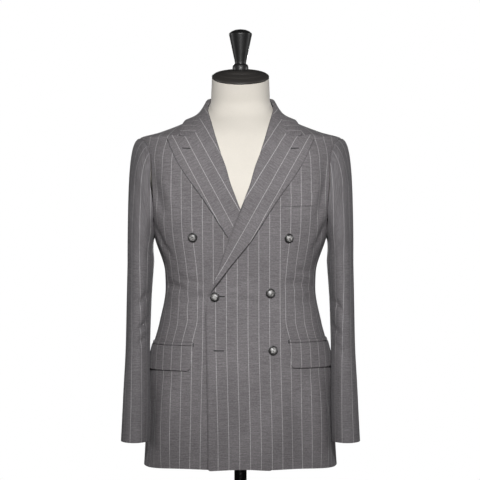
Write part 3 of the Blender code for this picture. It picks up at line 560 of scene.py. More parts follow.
def cloth(node, side, points, threads, normals, held, rests_on, wall=WALL, bulge=SEAM_BULGE, finish=None,
          cut=None):
    """A piece of cloth. Its threads' extent and its area are worked out here and not used."""
    obj = shell(f"{node}_cloth", side, points, threads, wall, finish or SUIT, normals, bulge)
    along, across = np.diff(points, axis=0)[:, :-1], np.diff(points, axis=1)[:-1]
    area = float(np.linalg.norm(np.cross(across, along), axis=-1).sum())
    wide, long = cut or (float(np.ptp(threads[..., axis])) for axis in (0, 1))
    [name if name == "form_torso" else f"{name}_cloth" for name in rests_on]
    own(obj, node)


# ---- Materials ----

class Nodes:
    """Short calls for a material's nodes."""

    def __init__(self, name):
        self.material = bpy.data.materials.new(name)
        self.material.use_nodes = True
        self.tree = self.material.node_tree
        self.shader = self.tree.nodes["Principled BSDF"]

    def add(self, kind, settings=None, **inputs):
        """A node of a kind; inputs are named by their sockets, or i0, i1 and so on."""
        node = self.tree.nodes.new(kind)
        for name, value in (settings or {}).items():
            setattr(node, name, value)
        for name, value in inputs.items():
            self.feed(node, name.replace("_", " "), value)
        return node

    def feed(self, node, name, value):
        socket = node.inputs[int(name[1:])] if name[0] == "i" and name[1:].isdigit() else node.inputs[name]
        if isinstance(value, bpy.types.NodeSocket):
            self.tree.links.new(value, socket)
        else:
            socket.default_value = value

    def place(self):
        return self.add("ShaderNodeTexCoord").outputs["Object"]

    def flat(self, layer):
        return self.add("ShaderNodeUVMap", {"uv_map": layer}).outputs[0]

    def maths(self, operation, *values):
        """The first value, and each other one in turn, under one operation."""
        kind = {"operation": operation}
        return reduce(lambda a, b: self.add("ShaderNodeMath", kind, i0=a, i1=b).outputs[0], values)

    def product(self, *values):
        return self.maths("MULTIPLY", *values)

    def blend(self, a, b, share_a, share_b):
        return self.maths("ADD", self.product(a, share_a), self.product(b, share_b))

    def noise(self, vector, scale, detail=2.0, roughness=0.5):
        if isinstance(scale, tuple):
            vector, scale = self.add("ShaderNodeMapping", Vector=vector, Scale=scale).outputs[0], 1.0
        return self.add("ShaderNodeTexNoise", Vector=vector, Scale=scale, Detail=detail,
                        Roughness=roughness).outputs["Fac"]

    def ranged(self, value, low, high, to_low, to_high, smooth=True):
        kind = {"interpolation_type": "SMOOTHSTEP" if smooth else "LINEAR"}
        node = self.add("ShaderNodeMapRange", kind, i0=value, i1=low, i2=high, i3=to_low, i4=to_high)
        return node.outputs[0]

    def mixed(self, share, a, b, blend="MIX"):
        kind = {"data_type": "RGBA", "blend_type": blend}
        return self.add("ShaderNodeMix", kind, i0=share, i6=a, i7=b).outputs[2]

    def shaded(self, base, shade):
        grey = self.add("ShaderNodeCombineColor", Red=shade, Green=shade, Blue=shade).outputs[0]
        return self.mixed(1.0, base, grey, "MULTIPLY")

    def bump(self, height, distance, strength=1.0, **under):
        node = self.add("ShaderNodeBump", Height=height, Distance=distance, Strength=strength, **under)
        return node.outputs[0]

    def finish(self, colour, roughness, normal, **constants):
        for name, value in (("Base Color", colour), ("Roughness", roughness), ("Normal", normal)):
            self.feed(self.shader, name, value)
        for name, value in constants.items():
            self.shader.inputs[name.replace("_", " ")].default_value = value
        return self.material


def suiting(name, base, stripe):
    """A worsted twill with a broken pinstripe every 22 mm."""
    n = Nodes(name)
    flat = n.flat("Cloth")
    parts = n.add("ShaderNodeSeparateXYZ", Vector=flat)
    across, along = parts.outputs[0], parts.outputs[1]
    wander = n.product(n.maths("SUBTRACT", n.noise(flat, (60, 25, 1)), 0.5), 0.0006)
    turns = n.maths("ADD", n.maths("DIVIDE", n.maths("ADD", across, wander), STRIPE_PITCH), 0.5)
    turns = n.add("ShaderNodeMath", {"operation": "FRACT"}, i0=turns).outputs[0]
    off = n.add("ShaderNodeMath", {"operation": "ABSOLUTE"}, i0=n.maths("SUBTRACT", turns, 0.5)).outputs[0]
    off = n.product(off, STRIPE_PITCH)
    line = n.ranged(off, STRIPE_HALF_WIDTH * 0.55, STRIPE_HALF_WIDTH * 1.45, 1.0, 0.0)

    twill = n.product(n.maths("ADD", across, n.product(along, 0.62)), 6900.0)
    twill = n.add("ShaderNodeMath", {"operation": "SINE"}, i0=twill).outputs[0]
    twill = n.product(n.maths("ADD", twill, 1.0), 0.5)
    weft, warp = n.noise(flat, (120, 2300, 1), 3.0, 0.6), n.noise(flat, (2100, 160, 1), 3.0, 0.6)
    grain = n.blend(weft, warp, 0.55, 0.45)
    slub = n.noise(flat, (45, 620, 1), 2.0, 0.55)
    shade = n.product(n.ranged(grain, 0.25, 0.75, 0.8, 1.2, False), n.ranged(slub, 0.32, 0.68, 0.86, 1.14),
                      n.ranged(n.noise(flat, (260, 420, 1), 2.0, 0.6), 0.3, 0.7, 0.86, 1.14),
                      n.ranged(twill, 0.0, 1.0, 0.95, 1.05, False),
                      n.ranged(n.noise(flat, (14, 9, 1), 3.0, 0.5), 0.3, 0.7, 0.93, 1.07))
    picks = n.ranged(n.noise(flat, (300, 240, 1)), 0.34, 0.62, 0.66, 1.0)
    light = n.mixed(0.5, stripe, n.shaded(stripe, shade))
    colour = n.mixed(n.product(line, picks, 0.86), n.shaded(base, shade), light)
    fuzz = n.maths("ADD", n.blend(grain, twill, 0.8, 0.35), n.product(line, 0.35))
    normal = n.bump(slub, 0.0003, 0.35, Normal=n.bump(fuzz, 0.00022, 0.55))
    return n.finish(colour, n.ranged(grain, 0.3, 0.7, 0.8, 0.95, False), normal, Sheen_Weight=0.06,
                    Sheen_Roughness=0.45, Sheen_Tint=(0.8, 0.8, 0.83, 1), Specular_IOR_Level=0.16)


def jersey(name, base):
    """The form's fine knitted cover."""
    n = Nodes(name)
    grain = n.blend(n.noise(n.place(), (900, 900, 260)), n.noise(n.place(), (240, 240, 1500)), 0.5, 0.5)
    shade = n.product(n.ranged(grain, 0.3, 0.7, 0.955, 1.03, False),
                      n.ranged(n.noise(n.place(), 11.0, 3.0), 0.3, 0.7, 0.965, 1.02))
    return n.finish(n.shaded(base, shade), n.ranged(grain, 0.3, 0.7, 0.74, 0.9, False),
                    n.bump(grain, 0.00025, 0.5), Sheen_Weight=0.15, Specular_IOR_Level=0.3)


def lacquer(name, base, dull):
    """Black lacquer with fine handling marks and a little dust."""
    n = Nodes(name)
    smears = n.noise(n.place(), 38.0, 4.0, 0.6)
    marks = n.noise(n.place(), (260, 260, 900), 3.0, 0.7)
    dust = n.ranged(n.noise(n.place(), 620.0, 2.0, 0.7), 0.64, 0.8, 0.0, 0.05)
    roughness = n.maths("ADD", n.ranged(smears, 0.3, 0.7, dull * 0.9, dull * 1.12), n.product(marks, 0.04))
    return n.finish(n.mixed(dust, base, (0.16, 0.155, 0.15, 1)), roughness, n.bump(marks, 0.00001, 0.08),
                    Coat_Weight=0.12, Coat_Roughness=0.3)


def enamel(name, base):
    """The pole and base: black enamelled metal."""
    n = Nodes(name)
    worn = n.ranged(n.noise(n.place(), (90, 90, 500), 3.0, 0.7), 0.66, 0.8, 0.0, 0.25)
    roughness = n.ranged(n.noise(n.place(), 22.0, 4.0, 0.6), 0.3, 0.7, 0.24, 0.4)
    return n.finish(n.mixed(worn, base, (0.06, 0.06, 0.062, 1)), roughness,
                    n.bump(n.noise(n.place(), 420.0, 2.0), 0.00006, 0.35), Metallic=0.25)


def horn(name, dark, light):
    """Mottled grey horn, its face painted pale in the middle and dark towards the rim: the mottling is the
    horn's own, the fall to the rim is painted highlight and shade of the dome.
    """
    n = Nodes(name)
    away = n.add("ShaderNodeVectorMath", {"operation": "LENGTH"}, i0=n.flat("Face")).outputs["Value"]
    colours = n.add("ShaderNodeTexNoise", Vector=n.place(), Scale=170.0).outputs["Color"]
    streaks = n.noise(n.mixed(0.002, n.place(), colours), (260, 560, 260), 4.0, 0.6)
    clouds = n.noise(n.place(), 330.0, 3.0, 0.6)
    # The fall from the pale middle to the near-black rim is painted shade, laid over the horn's own mottling.
    share = n.product(n.ranged(n.blend(streaks, clouds, 0.5, 0.5), 0.4, 0.6, 0.15, 1.0),
                      n.ranged(away, 0.003, 0.0084, 1.0, 0.05))
    return n.finish(n.mixed(share, dark, light), n.ranged(streaks, 0.3, 0.7, 0.26, 0.42),
                    n.bump(clouds, 0.00025, 0.5), Coat_Weight=0.2, Coat_Roughness=0.25)


def thread(name, base):
    """Twisted silk thread."""
    n = Nodes(name)
    fibre = n.noise(n.place(), 2600.0, 2.0, 0.7)
    return n.finish(n.shaded(base, n.ranged(fibre, 0.3, 0.7, 0.75, 1.25, False)),
                    n.ranged(fibre, 0.3, 0.7, 0.55, 0.75), n.bump(fibre, 0.0001, 0.5), Sheen_Weight=0.04)


SUIT = suiting("suiting_body", (0.137, 0.128, 0.133, 1), (0.405, 0.395, 0.397, 1))
# The sleeves' copy of the suiting is darker than the body's: painted shade, for the sleeves are cut from the
# same cloth.
SUIT_SLEEVE_SHADED = suiting("suiting_sleeve_painted_shade", (0.122, 0.115, 0.12, 1), (0.36, 0.35, 0.355, 1))
COVER = jersey("form_jersey", (0.585, 0.55, 0.495, 1))
BLACK = lacquer("black_lacquer_satin", (0.009, 0.009, 0.009, 1), 0.42)
CAP_BLACK = lacquer("black_lacquer_cap", (0.034, 0.031, 0.029, 1), 0.46)
STAND_BLACK = enamel("black_metal_enamel", (0.012, 0.012, 0.013, 1))
HORN_PAINTED_SHADE = horn("horn_grey_painted_shade", (0.01, 0.0098, 0.01, 1), (0.42, 0.41, 0.4, 1))
DARK_THREAD = thread("buttonhole_silk", (0.01, 0.01, 0.011, 1))
GREY_THREAD = thread("button_thread", (0.1, 0.1, 0.105, 1))


# ---- The jacket's body ----

def seam_groove(*distances):
    """How far cloth dips beside its sewn seams."""
    return sum(-GROOVE_DEPTH * np.exp(-(distance / GROOVE_WIDTH) ** 2) for distance in distances)


def hem_drop(angle, height):
    """The hem isn't quite level: it swings a little with the skirt's folds."""
    turn = np.radians(angle)
    swing = 0.001 * np.sin(3.1 * turn + 0.4) + 0.0008 * np.sin(7.3 * turn + 1.9)
    return swing * (1 - rise_between(height, HEM, HEM + HEM_SWING_HEIGHT))


def outer_edge(heights, at_hem, top_turn):
    """The angle of a panel's outer edge: side seam, then armhole, then shoulder seam."""
    seam_top = armhole(np.float64(top_turn))
    low = mix(at_hem, seam_top.angle, (heights - HEM) / (seam_top.height - HEM))
    rise = np.clip((heights - ARMHOLE_MIDDLE) / ARMHOLE_HALF_HEIGHT, -1, 1)
    reach = (1 - np.abs(rise) ** ARMHOLE_ROUNDNESS) ** (1 / ARMHOLE_ROUNDNESS)
    high = 90 - np.sign(90 - seam_top.angle) * ARMHOLE_HALF_ANGLE * reach
    return np.where(heights <= seam_top.height, low, np.where(heights >= SHOULDER_TIP, 90.0, high))


def fold_reach(height):
    """How far round the fold the cloth of a lapel runs past the front's edge."""
    return mix(0.0008, 0.003, rise_between(height, BREAK, BREAK + ROLL_TAPER))


def front_inner_out(heights):
    shy = (fold_reach(heights) + SEAM) * rise_between(heights, BREAK, BREAK + 0.006)
    out = np.where(heights > BREAK, ROLL_LINE_OUT(heights) + shy, FRONT_EDGE_OUT(heights))
    near_foot = np.clip((HEM + FRONT_CORNER - heights) / FRONT_CORNER, 0, 1)
    return out + FRONT_CORNER * (1 - np.sqrt(1 - near_foot ** 2)) * 0.9


def body_heights():
    """Heights with lines at the break and the hem, that follow the armhole's edge, finer at its top."""
    low = HEM + (armhole(np.float64(SIDE_SEAM_TURN)).height - HEM) * shares_for(0.475)[:-1]
    low = np.unique(np.concatenate([low[np.abs(low - BREAK) > 0.001], [BREAK],
                                    HEM + np.array([0.0004, 0.0016, 0.0026])]))
    turns = np.concatenate([np.arange(SIDE_SEAM_TURN, 22, -2.0), [20, 17, 14, 11, 8, 5, 0]])
    top = SHOULDER_TIP + (NECK_SEAM - SEAM / 2 - SHOULDER_TIP) * shares_for(0.15)[2:]
    return np.concatenate([low, armhole(turns).height, top])


def panel(name, side, angle, height, groove, threads, is_front=False):
    points = body_points(side, angle, height, groove + 0 * angle, is_front)
    points = points + UP * hem_drop(angle, height)[..., None]
    cloth(f"{name}_{side}", side, points, threads, outward(angle, height), "draped", ["form_torso"])


def front(side):
    heights = body_heights()
    inner = front_angle(front_inner_out(heights), heights)
    outer = outer_edge(heights, FRONT_SIDE_SEAM_AT_HEM, SIDE_SEAM_TURN) - seam_angle()
    share = shares_for(PANEL_WIDTH, 0.0005, 0.0004)
    share = with_more(share, np.array([0.0012, 0.002, 0.0028]) / PANEL_WIDTH)
    angle = mix(inner[:, None], outer[:, None], share)
    height = heights[:, None] + 0 * angle
    groove = seam_groove((1 - share) * GROOVED_WIDTH) * (1 - 0.8 * rise_between(height, 1.28, 1.33))
    panel("front", side, angle, height, groove, front_threads(side, angle, height), True)


def back(side):
    heights = body_heights()
    outer = outer_edge(heights, BACK_SIDE_SEAM_AT_HEM, -SIDE_SEAM_TURN) + seam_angle()
    share = shares_for(PANEL_WIDTH)
    angle = mix(outer[:, None], 180 - seam_angle(), share)
    height = heights[:, None] + 0 * angle
    threads = threads_from(180.0, angle, height, -STRIPE_ON_BACK) * FLIP_ACROSS
    groove = seam_groove(share * GROOVED_WIDTH, (1 - share) * GROOVED_WIDTH)
    panel("back", side, angle, height, groove, threads)


def side_panel(side):
    turns = np.linspace(SIDE_SEAM_TURN, 360 - SIDE_SEAM_TURN, 37)
    turns = with_more(turns, [turns[0] + 0.5, turns[-1] - 0.5])
    top = armhole(turns)
    share = (turns - turns[0]) / (turns[-1] - turns[0])
    hem = mix(FRONT_SIDE_SEAM_AT_HEM + seam_angle(), BACK_SIDE_SEAM_AT_HEM - seam_angle(), share)
    up = shares_for(0.47)[:, None]
    angle = mix(hem, top.angle + seam_angle() * (1 - 2 * share), up)
    height = mix(HEM, top.height, up)
    threads = threads_from((FRONT_SIDE_SEAM_AT_HEM + BACK_SIDE_SEAM_AT_HEM) / 2, angle, height)
    panel("side", side, angle, height, seam_groove(share * SIDE_WIDTH, (1 - share) * SIDE_WIDTH), threads)


# ---- Sleeves ----

def sleeve_ring_point(turn, height):
    ring = {name: curve(height) for name, curve in SLEEVE_CURVES.items()}
    across, forward = np.cos(np.radians(turn)), np.sin(np.radians(turn))
    return np.stack(np.broadcast_arrays(ring["middle_out"] + ring["half_width"] * across,
                                        ring["middle_y"] - ring["half_depth"] * forward, height), -1)


def sleeve_head_point(turn, share):
    """Points of the head, which leaves the armhole sideways and meets the first ring upright."""
    place = armhole(turn)
    end = sleeve_ring_point(turn, np.full(np.shape(turn), SLEEVE_TOP))
    top = np.maximum(np.cos(np.radians(turn)), 0.0)[..., None]
    forward = np.sin(np.radians(turn))[..., None]
    leaving = unit(SLEEVE_LEAVING + SLEEVE_LEAVING_AT_TOP * top - SLEEVE_LEAVING_FORWARD * forward)
    start = surface(place.angle, place.height) + leaving * SLEEVE_SET_IN
    span = np.linalg.norm(end - start, axis=-1, keepdims=True)
    after_start = start + leaving * span * (SLEEVE_FIRST_PULL + SLEEVE_FIRST_PULL_AT_TOP * top)
    before_end = end + UP * span * (SLEEVE_LAST_PULL + SLEEVE_LAST_PULL_AT_TOP * top)
    share = share[..., None]
    rest = 1 - share
    return (start * rest ** 3 + after_start * 3 * rest * rest * share
            + before_end * 3 * rest * share * share + end * share ** 3)


def sleeve_point(turn, share):
    """share runs from 0 at the armhole through 1 at the first level ring to 2 at the cuff."""
    turn, share = np.broadcast_arrays(turn, share)
    head = sleeve_head_point(turn, np.clip(share, 0, 1))
    tube = sleeve_ring_point(turn, mix(SLEEVE_TOP, CUFF + CUFF_RAISE, np.clip(share, 1, 2) - 1))
    return np.where(share[..., None] <= 1, head, tube)


def sleeve_outward(turn, share):
    step = 0.02
    low = np.clip(share, step, 2 - step)
    around = sleeve_point(turn + 2, share) - sleeve_point(turn - 2, share)
    return unit(np.cross(around, sleeve_point(turn, low + step) - sleeve_point(turn, low - step)))


SECTION_STEP = 3.0
SECTION_TURNS = np.arange(-180.0, 361.0, SECTION_STEP)
SECTION_HEIGHTS = np.linspace(SLEEVE_TOP, 1.5, 66)


def head_sections():
    """Metres round the head's level sections from its outer side to each turn."""
    points = sleeve_head_point(SECTION_TURNS[:, None], np.linspace(1, 0, 80)[None, :])
    rise = np.maximum.accumulate(points[..., 2], axis=1) + np.arange(80) * 1e-9
    sections = np.stack([[np.interp(SECTION_HEIGHTS, heights, line[:, axis]) for axis in (0, 1)]
                         for heights, line in zip(rise, points)])
    arcs = lengths_along(sections.transpose(0, 2, 1), 0)
    return arcs - arcs[np.searchsorted(SECTION_TURNS, 0.0)]


HEAD_SECTIONS = head_sections()
OUTLINE = sleeve_head_point(np.zeros(120), np.linspace(0, 1, 120))[::-1, ::2]
RING_WIDTH, RING_DEPTH = SLEEVE[-1].half_width, SLEEVE[-1].half_depth
RING_TURNS = np.radians(np.arange(-180.0, 361.0, 1.0))


def ring_arcs():
    """Metres round the first level ring from its outer side to each turn."""
    speed = np.hypot(RING_WIDTH * np.sin(RING_TURNS), RING_DEPTH * np.cos(RING_TURNS))
    arcs = np.append(0, np.cumsum((speed[1:] + speed[:-1]) / 2 * np.diff(RING_TURNS)))
    return arcs - np.interp(0.0, RING_TURNS, arcs)


RING_ARCS = ring_arcs()


def sleeve_across(turn, share):
    """Metres round the sleeve from its outer side. Over the head the stripes stay upright."""
    level = mix(SLEEVE_TOP, CUFF, np.clip(share, 1, 2) - 1)
    size = SLEEVE_CURVES["half_width"](level) + SLEEVE_CURVES["half_depth"](level)
    tube = np.interp(np.radians(turn), RING_TURNS, RING_ARCS) * size / (RING_WIDTH + RING_DEPTH)
    point = sleeve_point(turn, share)
    height = point[..., 2]
    inwards = np.interp(height, OUTLINE[:, 1], OUTLINE[:, 0]) - point[..., 0]
    round_front = np.arccos(np.clip(1 - inwards / RING_WIDTH, 0.0, 1.0))
    seen = np.interp(round_front, RING_TURNS, RING_ARCS) + np.maximum(inwards - RING_WIDTH, 0.0)
    weight = rise_between(np.abs(turn), 30, 75) * (1 - rise_between(turn, 130, 165))
    weight = weight * rise_between(height, SLEEVE_TOP, SLEEVE_TOP + 0.07)
    section = looked_up(HEAD_SECTIONS, (turn - SECTION_TURNS[0]) / SECTION_STEP,
                        (height - SLEEVE_TOP) / (SECTION_HEIGHTS[1] - SLEEVE_TOP))
    return np.where(share <= 1, mix(section, np.sign(turn) * seen, weight), tube)


def sleeve_along(share):
    """Metres down the sleeve."""
    return SLEEVE_HEAD_LENGTH * np.minimum(share, 1) + SLEEVE_TUBE_LENGTH * np.maximum(share - 1, 0)


def sleeve_relief(side, turn, share):
    lift = np.zeros(turn.shape)
    turn = (turn + 180) % 360 - 180
    scale = SLEEVE_METRES_PER_DEGREE
    for at, part, to_at, to_part, *small in SLEEVE_CREASES[side]:
        bow, width, depth = np.array(small) / 1000
        lift += crease_lift(turn * scale, sleeve_along(share), (at * scale, sleeve_along(part)),
                            (to_at * scale, sleeve_along(to_part)), bow, width, depth * SLEEVE_CREASE_DEPTH)
    top = np.maximum(np.cos(np.radians(turn)), 0)
    roped = ROPE_LIFT * top * np.exp(-((share - ROPE_SHARE) / ROPE_WIDTH) ** 2)
    return lift * rise_between(share, 0.0, 0.12) + roped


def sleeve_piece(name, side, first_turn, last_turn):
    gap = seam_angle(SLEEVE_SEAM_RADIUS)
    width = math.radians(last_turn - first_turn) * SLEEVE_RADIUS
    across = shares_for(width)
    share = np.concatenate([shares_for(0.21, 0.0003, 0.002), 1 + shares_for(SLEEVE_TUBE_LENGTH)[1:]])
    turn, share = np.broadcast_arrays(mix(first_turn + gap, last_turn - gap, across), share[:, None])
    place = armhole(turn)
    lift = sleeve_relief(side, turn, share) + seam_groove(across * width, (1 - across) * width)
    lift = lift + body_relief(side, place.angle, place.height) * (1 - rise_between(share, 0.0, 0.3))
    direction = sleeve_outward(turn, share)
    points = sleeve_point(turn, share) + direction * lift[..., None]
    middle = int(np.argmin(np.abs(turn[0] - (0 if first_turn < 0 else 180))))
    down = lengths_along(points[:, middle], 0)[:, None]
    threads = np.stack(np.broadcast_arrays(sleeve_across(turn, share) - STRIPE_ON_SLEEVE[side], down), -1)
    cloth(f"{name}_{side}", side, points[::-1], threads[::-1], direction[::-1], "hung",
          [f"{piece}_{side}" for piece in ("front", "back", "side")], finish=SUIT_SLEEVE_SHADED)


# ---- Lapels and collar ----

def shifted(marks, out, up):
    """A table's places, moved out and up."""
    return np.array([place_of(mark.out + out, mark.height + up) for mark in marks])


def along_line(line, shares):
    """Places at shares of a line of places, each stretch counted alike."""
    where = shares * (len(line) - 1)
    return np.stack([np.interp(where, np.arange(len(line)), line[:, axis]) for axis in (0, 1)], -1)


def patch(bottom, top, start, end, up, across):
    """A grid of places inside four edges: bottom and top run from start to end."""
    up, across = up[:, None, None], across[None, :, None]
    corners = mix(mix(bottom[0], bottom[-1], across), mix(top[0], top[-1], across), up)
    return mix(bottom[None], top[None], up) + mix(start[:, None], end[:, None], across) - corners


def smooth_line(curve, bottom, top, shares):
    heights = mix(bottom, top, shares)
    return place_of(curve(heights), heights)


def place_line(table, shares):
    """Places along a smooth line through a table, at shares of its angles."""
    curve = Curve([row.angle for row in table], [row.height for row in table])
    angles = mix(table[0].angle, table[-1].angle, shares)
    return np.stack([angles, curve(angles)], -1)


FOLD_POINTS = np.concatenate([surface(*line.T) for line in (
    smooth_line(ROLL_LINE_OUT, BREAK, NECK_SEAM, np.linspace(0, 1, 120)),
    place_line(COLLAR_FOLD, np.linspace(0, 1, 60)))])


def roll_raise(points):
    """The cloth beside the fold stands off, since it can't fold flat."""
    away = np.sqrt(((points[..., None, :] - FOLD_POINTS) ** 2).sum(-1).min(-1))
    return ROLL_RAISE * (1 - rise_between(away, 0.0, ROLL_REACH))


def lapel_shape(side, angle, height):
    """How far a lapel's outer side stands off the body."""
    base = surface(angle, height)
    out = base[..., 0]
    to_edge = LAPEL_EDGE_OUT(np.minimum(height, LAPEL_EDGE[-1].height)) - out
    belly = 0.001 * rise_between(height, BREAK + 0.02, BREAK + 0.1) * rise_between(to_edge, 0.0, 0.03)
    belly = belly * rise_between(out - ROLL_LINE_OUT(height), 0, 0.02)
    edge = 1 - rise_between(to_edge, 0.0, 0.032)
    window = rise_between(height, BREAK + 0.004, BREAK + 0.03) * (1 - rise_between(height, 1.29, 1.47))
    free = LAPEL_EDGE_OPEN[side] * edge * window
    if side == "left":
        free = free + ROLL_OPEN * edge * np.exp(-((height - BREAK - 0.034) / 0.022) ** 2)
    raised = roll_raise(base) + belly + free
    if side == "right":
        raised = raised * rise_between(out + ROLL_LINE_OUT(height), 0.0, 0.012)
    return WALL + collar_lift(height) + raised


def fold_columns(side, place, next_direction, reach, lift):
    """Round the fold: from beside the panel's edge out past the fold and back over it."""
    base, facing = surface(*place.T), outward(*place.T)
    base = base + facing * (crossing_lift(side, base) + body_relief(side, *place.T))[:, None]
    beyond = unit(np.cross(next_direction, facing))
    half = ((lift + WALL) / 2)[:, None]
    high, far = np.sin(ROLL_TURNS), np.cos(ROLL_TURNS)
    facings, beyonds = facing[:, None], beyond[:, None]
    points = (base[:, None] + facings * (half - WALL + half * high)[..., None]
              + beyonds * (reach[:, None] * far)[..., None])
    arcs = (math.pi / 2 - ROLL_TURNS) * (half + reach[:, None]) / 2
    return points, arcs, beyond, facings * high[:, None] + beyonds * far[:, None]


def lapel(side):
    up = with_more(shares_for(0.42), [0.004, 0.008, 0.014])
    across = shares_for(0.1)
    top = np.concatenate([shifted(GORGE, -GORGE_GAP, -GORGE_GAP), shifted(PEAK_TOP, 0, -GORGE_GAP)])
    top = along_line(top, across)
    bottom = place_of(mix(ROLL_LINE[0].out, LAPEL_EDGE[0].out, across), np.full(across.shape, BREAK))
    roll = smooth_line(ROLL_LINE_OUT, BREAK, top[0, 1], up)
    edge = smooth_line(LAPEL_EDGE_OUT, BREAK, top[-1, 1], up)
    roll[-1], edge[-1] = top[0], top[-1]
    grid = patch(bottom, top, roll, edge, up, across)
    height = grid[..., 1]
    reach = fold_reach(height[:, 0])
    # The fold's own line is drawn in by its reach, so that its rim lies on the roll line.
    out = surface(grid[..., 0], height)[..., 0]
    narrow = np.maximum(LAPEL_EDGE_OUT(np.minimum(height[:, 0], LAPEL_EDGE[-1].height)) - out[:, 0], 1e-4)
    inset = np.minimum(reach, narrow * 0.45)[:, None] * (1 - across) ** 3
    grid[..., 0] = angle = front_angle(out + inset, height)

    lift = lapel_shape(side, angle, height)
    base = surface(angle, height)
    rolled, arcs, beyond, round_fold = fold_columns(side, grid[:, 0], -np.gradient(base[:, 0], axis=0), reach,
                                                    lift[:, 0])
    out = base[..., 0]
    past = out[:, :1] + arcs * beyond[:, None, 0], height[:, :1] + arcs * beyond[:, None, 2]
    points = np.concatenate([rolled, body_points(side, angle, height, lift)], axis=1)
    threads = np.concatenate([lapel_threads(side, *past), lapel_threads(side, out, height)], axis=1)
    normals = np.concatenate([round_fold, outward(angle, height)], axis=1)
    # The wall is thinner round the fold, where it has less room, and thickens beside it.
    tube = np.minimum(WALL, reach * 0.62)[:, None]
    steps = np.clip(np.arange(points.shape[1]) - len(ROLL_TURNS) + 1, 0, 5)
    cloth(f"lapel_{side}", side, points, threads, normals, "folded", [f"front_{side}"],
          mix(tube, WALL, steps / 5)[..., None], EDGE_BULGE)


def whole_round(*grids):
    """Half grids and their mirror images, from one front end to the other."""
    return [np.concatenate([grid, grid[:, -2::-1] * (FLIP_X if grid.shape[-1] == 3 else FLIP_ACROSS)], axis=1)
            for grid in grids]


def collar():
    up = shares_for(COLLAR_WIDTH)
    across = with_more(np.linspace(0, 1, 58), [0.004, 0.01])
    fold, edge = place_line(COLLAR_FOLD, across), place_line(COLLAR_EDGE, across)
    end = np.concatenate([shifted(GORGE, GORGE_GAP, GORGE_GAP), shifted(NOTCH, 0, GORGE_GAP)])[::-1]
    end = along_line(end, up)
    fold[0], edge[0] = end[-1], end[0]
    half = patch(edge, fold, end, mix(edge[-1], fold[-1], up[:, None]), up, across)
    drop = COLLAR_DROP * rise_between(across, 0.0, 0.12)
    half[..., 1] -= drop * up[:, None] ** 3
    angle, height = half[..., 0], half[..., 1]

    base, facing = surface(angle, height), outward(angle, height)
    lift = WALL + collar_lift(height) + roll_raise(base)
    points = base + facing * lift[..., None]
    length = lengths_along(points, 1)
    from_back = length[:, -1:] - length
    threads = np.stack(np.broadcast_arrays(STRIPE_ON_COLLAR - from_back, (up * COLLAR_WIDTH)[:, None]), -1)
    along = np.gradient(surface(*fold.T), axis=0)
    rolled, arcs, _, round_fold = fold_columns("none", half[-1], along, np.full(len(across), COLLAR_DROP),
                                               lift[-1])
    over_threads = np.stack(np.broadcast_arrays(threads[-1:, :, 0], COLLAR_WIDTH + arcs.T[::-1]), -1)
    rolled, round_fold = (grid.transpose(1, 0, 2)[::-1] for grid in (rolled, round_fold))
    points, normals, threads = whole_round(*(np.concatenate(pair) for pair in (
        (points, rolled), (facing, round_fold), (threads, over_threads))))
    cloth("collar_leaf", "left", points, threads, normals, "folded",
          ["collar_stand", "lapel_left", "lapel_right"], bulge=EDGE_BULGE)

    seam = NECK_SEAM + SEAM / 2
    top = np.maximum(fold[:, 1] - drop - SEAM, seam + 0.0004)
    angle, height = np.broadcast_arrays(fold[:, 0], mix(seam, top, shares_for(0.03)[:, None]))
    threads = np.stack(np.broadcast_arrays(-from_back[-1:], height), -1)
    points, normals, threads = whole_round(surface(angle, height), outward(angle, height), threads)
    cloth("collar_stand", "left", points, threads, normals, "stretched", ["front_left", "back_left"])


# ---- Pockets ----

def laid(node, side, angle, height, lift, threads, held, rests_on, **more):
    """A piece of cloth that lies on a front."""
    points = body_points(side, angle, height, lift + 0 * height)
    cloth(node, side, points, threads, outward(angle, height), held, rests_on, **more)


def hip_pocket(flap):
    side = flap.side
    ends = np.array([front_angle(flap.front, flap.top), FLAP_BACK_ANGLE])
    front_arc, back_arc = arc_to(ends, np.full(2, flap.top))
    width = float(back_arc - front_arc)
    across = with_more(shares_for(width), np.array([0.002, 0.004, 0.006]) / width)
    angle = mix(*ends, across)
    from_ends = np.stack([across * width, width - across * width])
    inside = np.clip((FLAP_CORNER - from_ends) / FLAP_CORNER, 0, 1)
    cut = (FLAP_CORNER * (1 - np.sqrt(1 - inside ** 2))).sum(0)
    up = shares_for(flap.top - flap.bottom)[:, None]
    angles, height = np.broadcast_arrays(angle, mix(flap.bottom + cut, flap.top - POCKET_GAP, up))
    low = 1 - rise_between(height, flap.bottom, flap.top)
    lift = LAYER + WALL + 0.0008 * low + 0.0006 * np.sin(across * 7.0 + 0.8) * low
    laid(f"hip_flap_{side}", side, angles, height, lift, front_threads(side, angles, height), "hung",
         [f"front_{side}", f"side_{side}"], bulge=EDGE_BULGE)

    bottom = flap.top + SEAM + POCKET_GAP
    up = shares_for(JETTING_HEIGHT, 0.0006, 0.0006)[:, None]
    angles, height = np.broadcast_arrays(angle, mix(bottom, bottom + JETTING_HEIGHT, up))
    threads = np.stack([front_threads(side, angles, height)[..., 0], height], -1)
    lift = LAYER * 0.7 + THIN_WALL + 0.0004 * (1 - (2 * up - 1) ** 2)
    laid(f"hip_jetting_{side}", side, angles, height, lift, threads, "laid", [f"front_{side}"],
         wall=THIN_WALL, bulge=THIN_BULGE, cut=(JETTING_CUT, float(np.ptp(threads[..., 0]))))

    # A near-black tube of thread along the jetting's upper edge: a painted shadow line at the pocket's mouth,
    # not real stitching.
    angles, level = np.linspace(*ends, 160), bottom + JETTING_HEIGHT + 0.0004
    there, back_again = (body_points(side, angles, np.full(160, level + off), np.full(160, 0.0003))
                         for off in (0.0002, -0.0002))
    path = np.concatenate([there, back_again[::-1]]) * (FLIP_X if side == "right" else 1)
    rings = tube_loop(path, STITCH_RADIUS, STITCH_SIDES)
    own(ring_mesh(f"stitches_jetting_{side}", rings, DARK_THREAD, False), None)


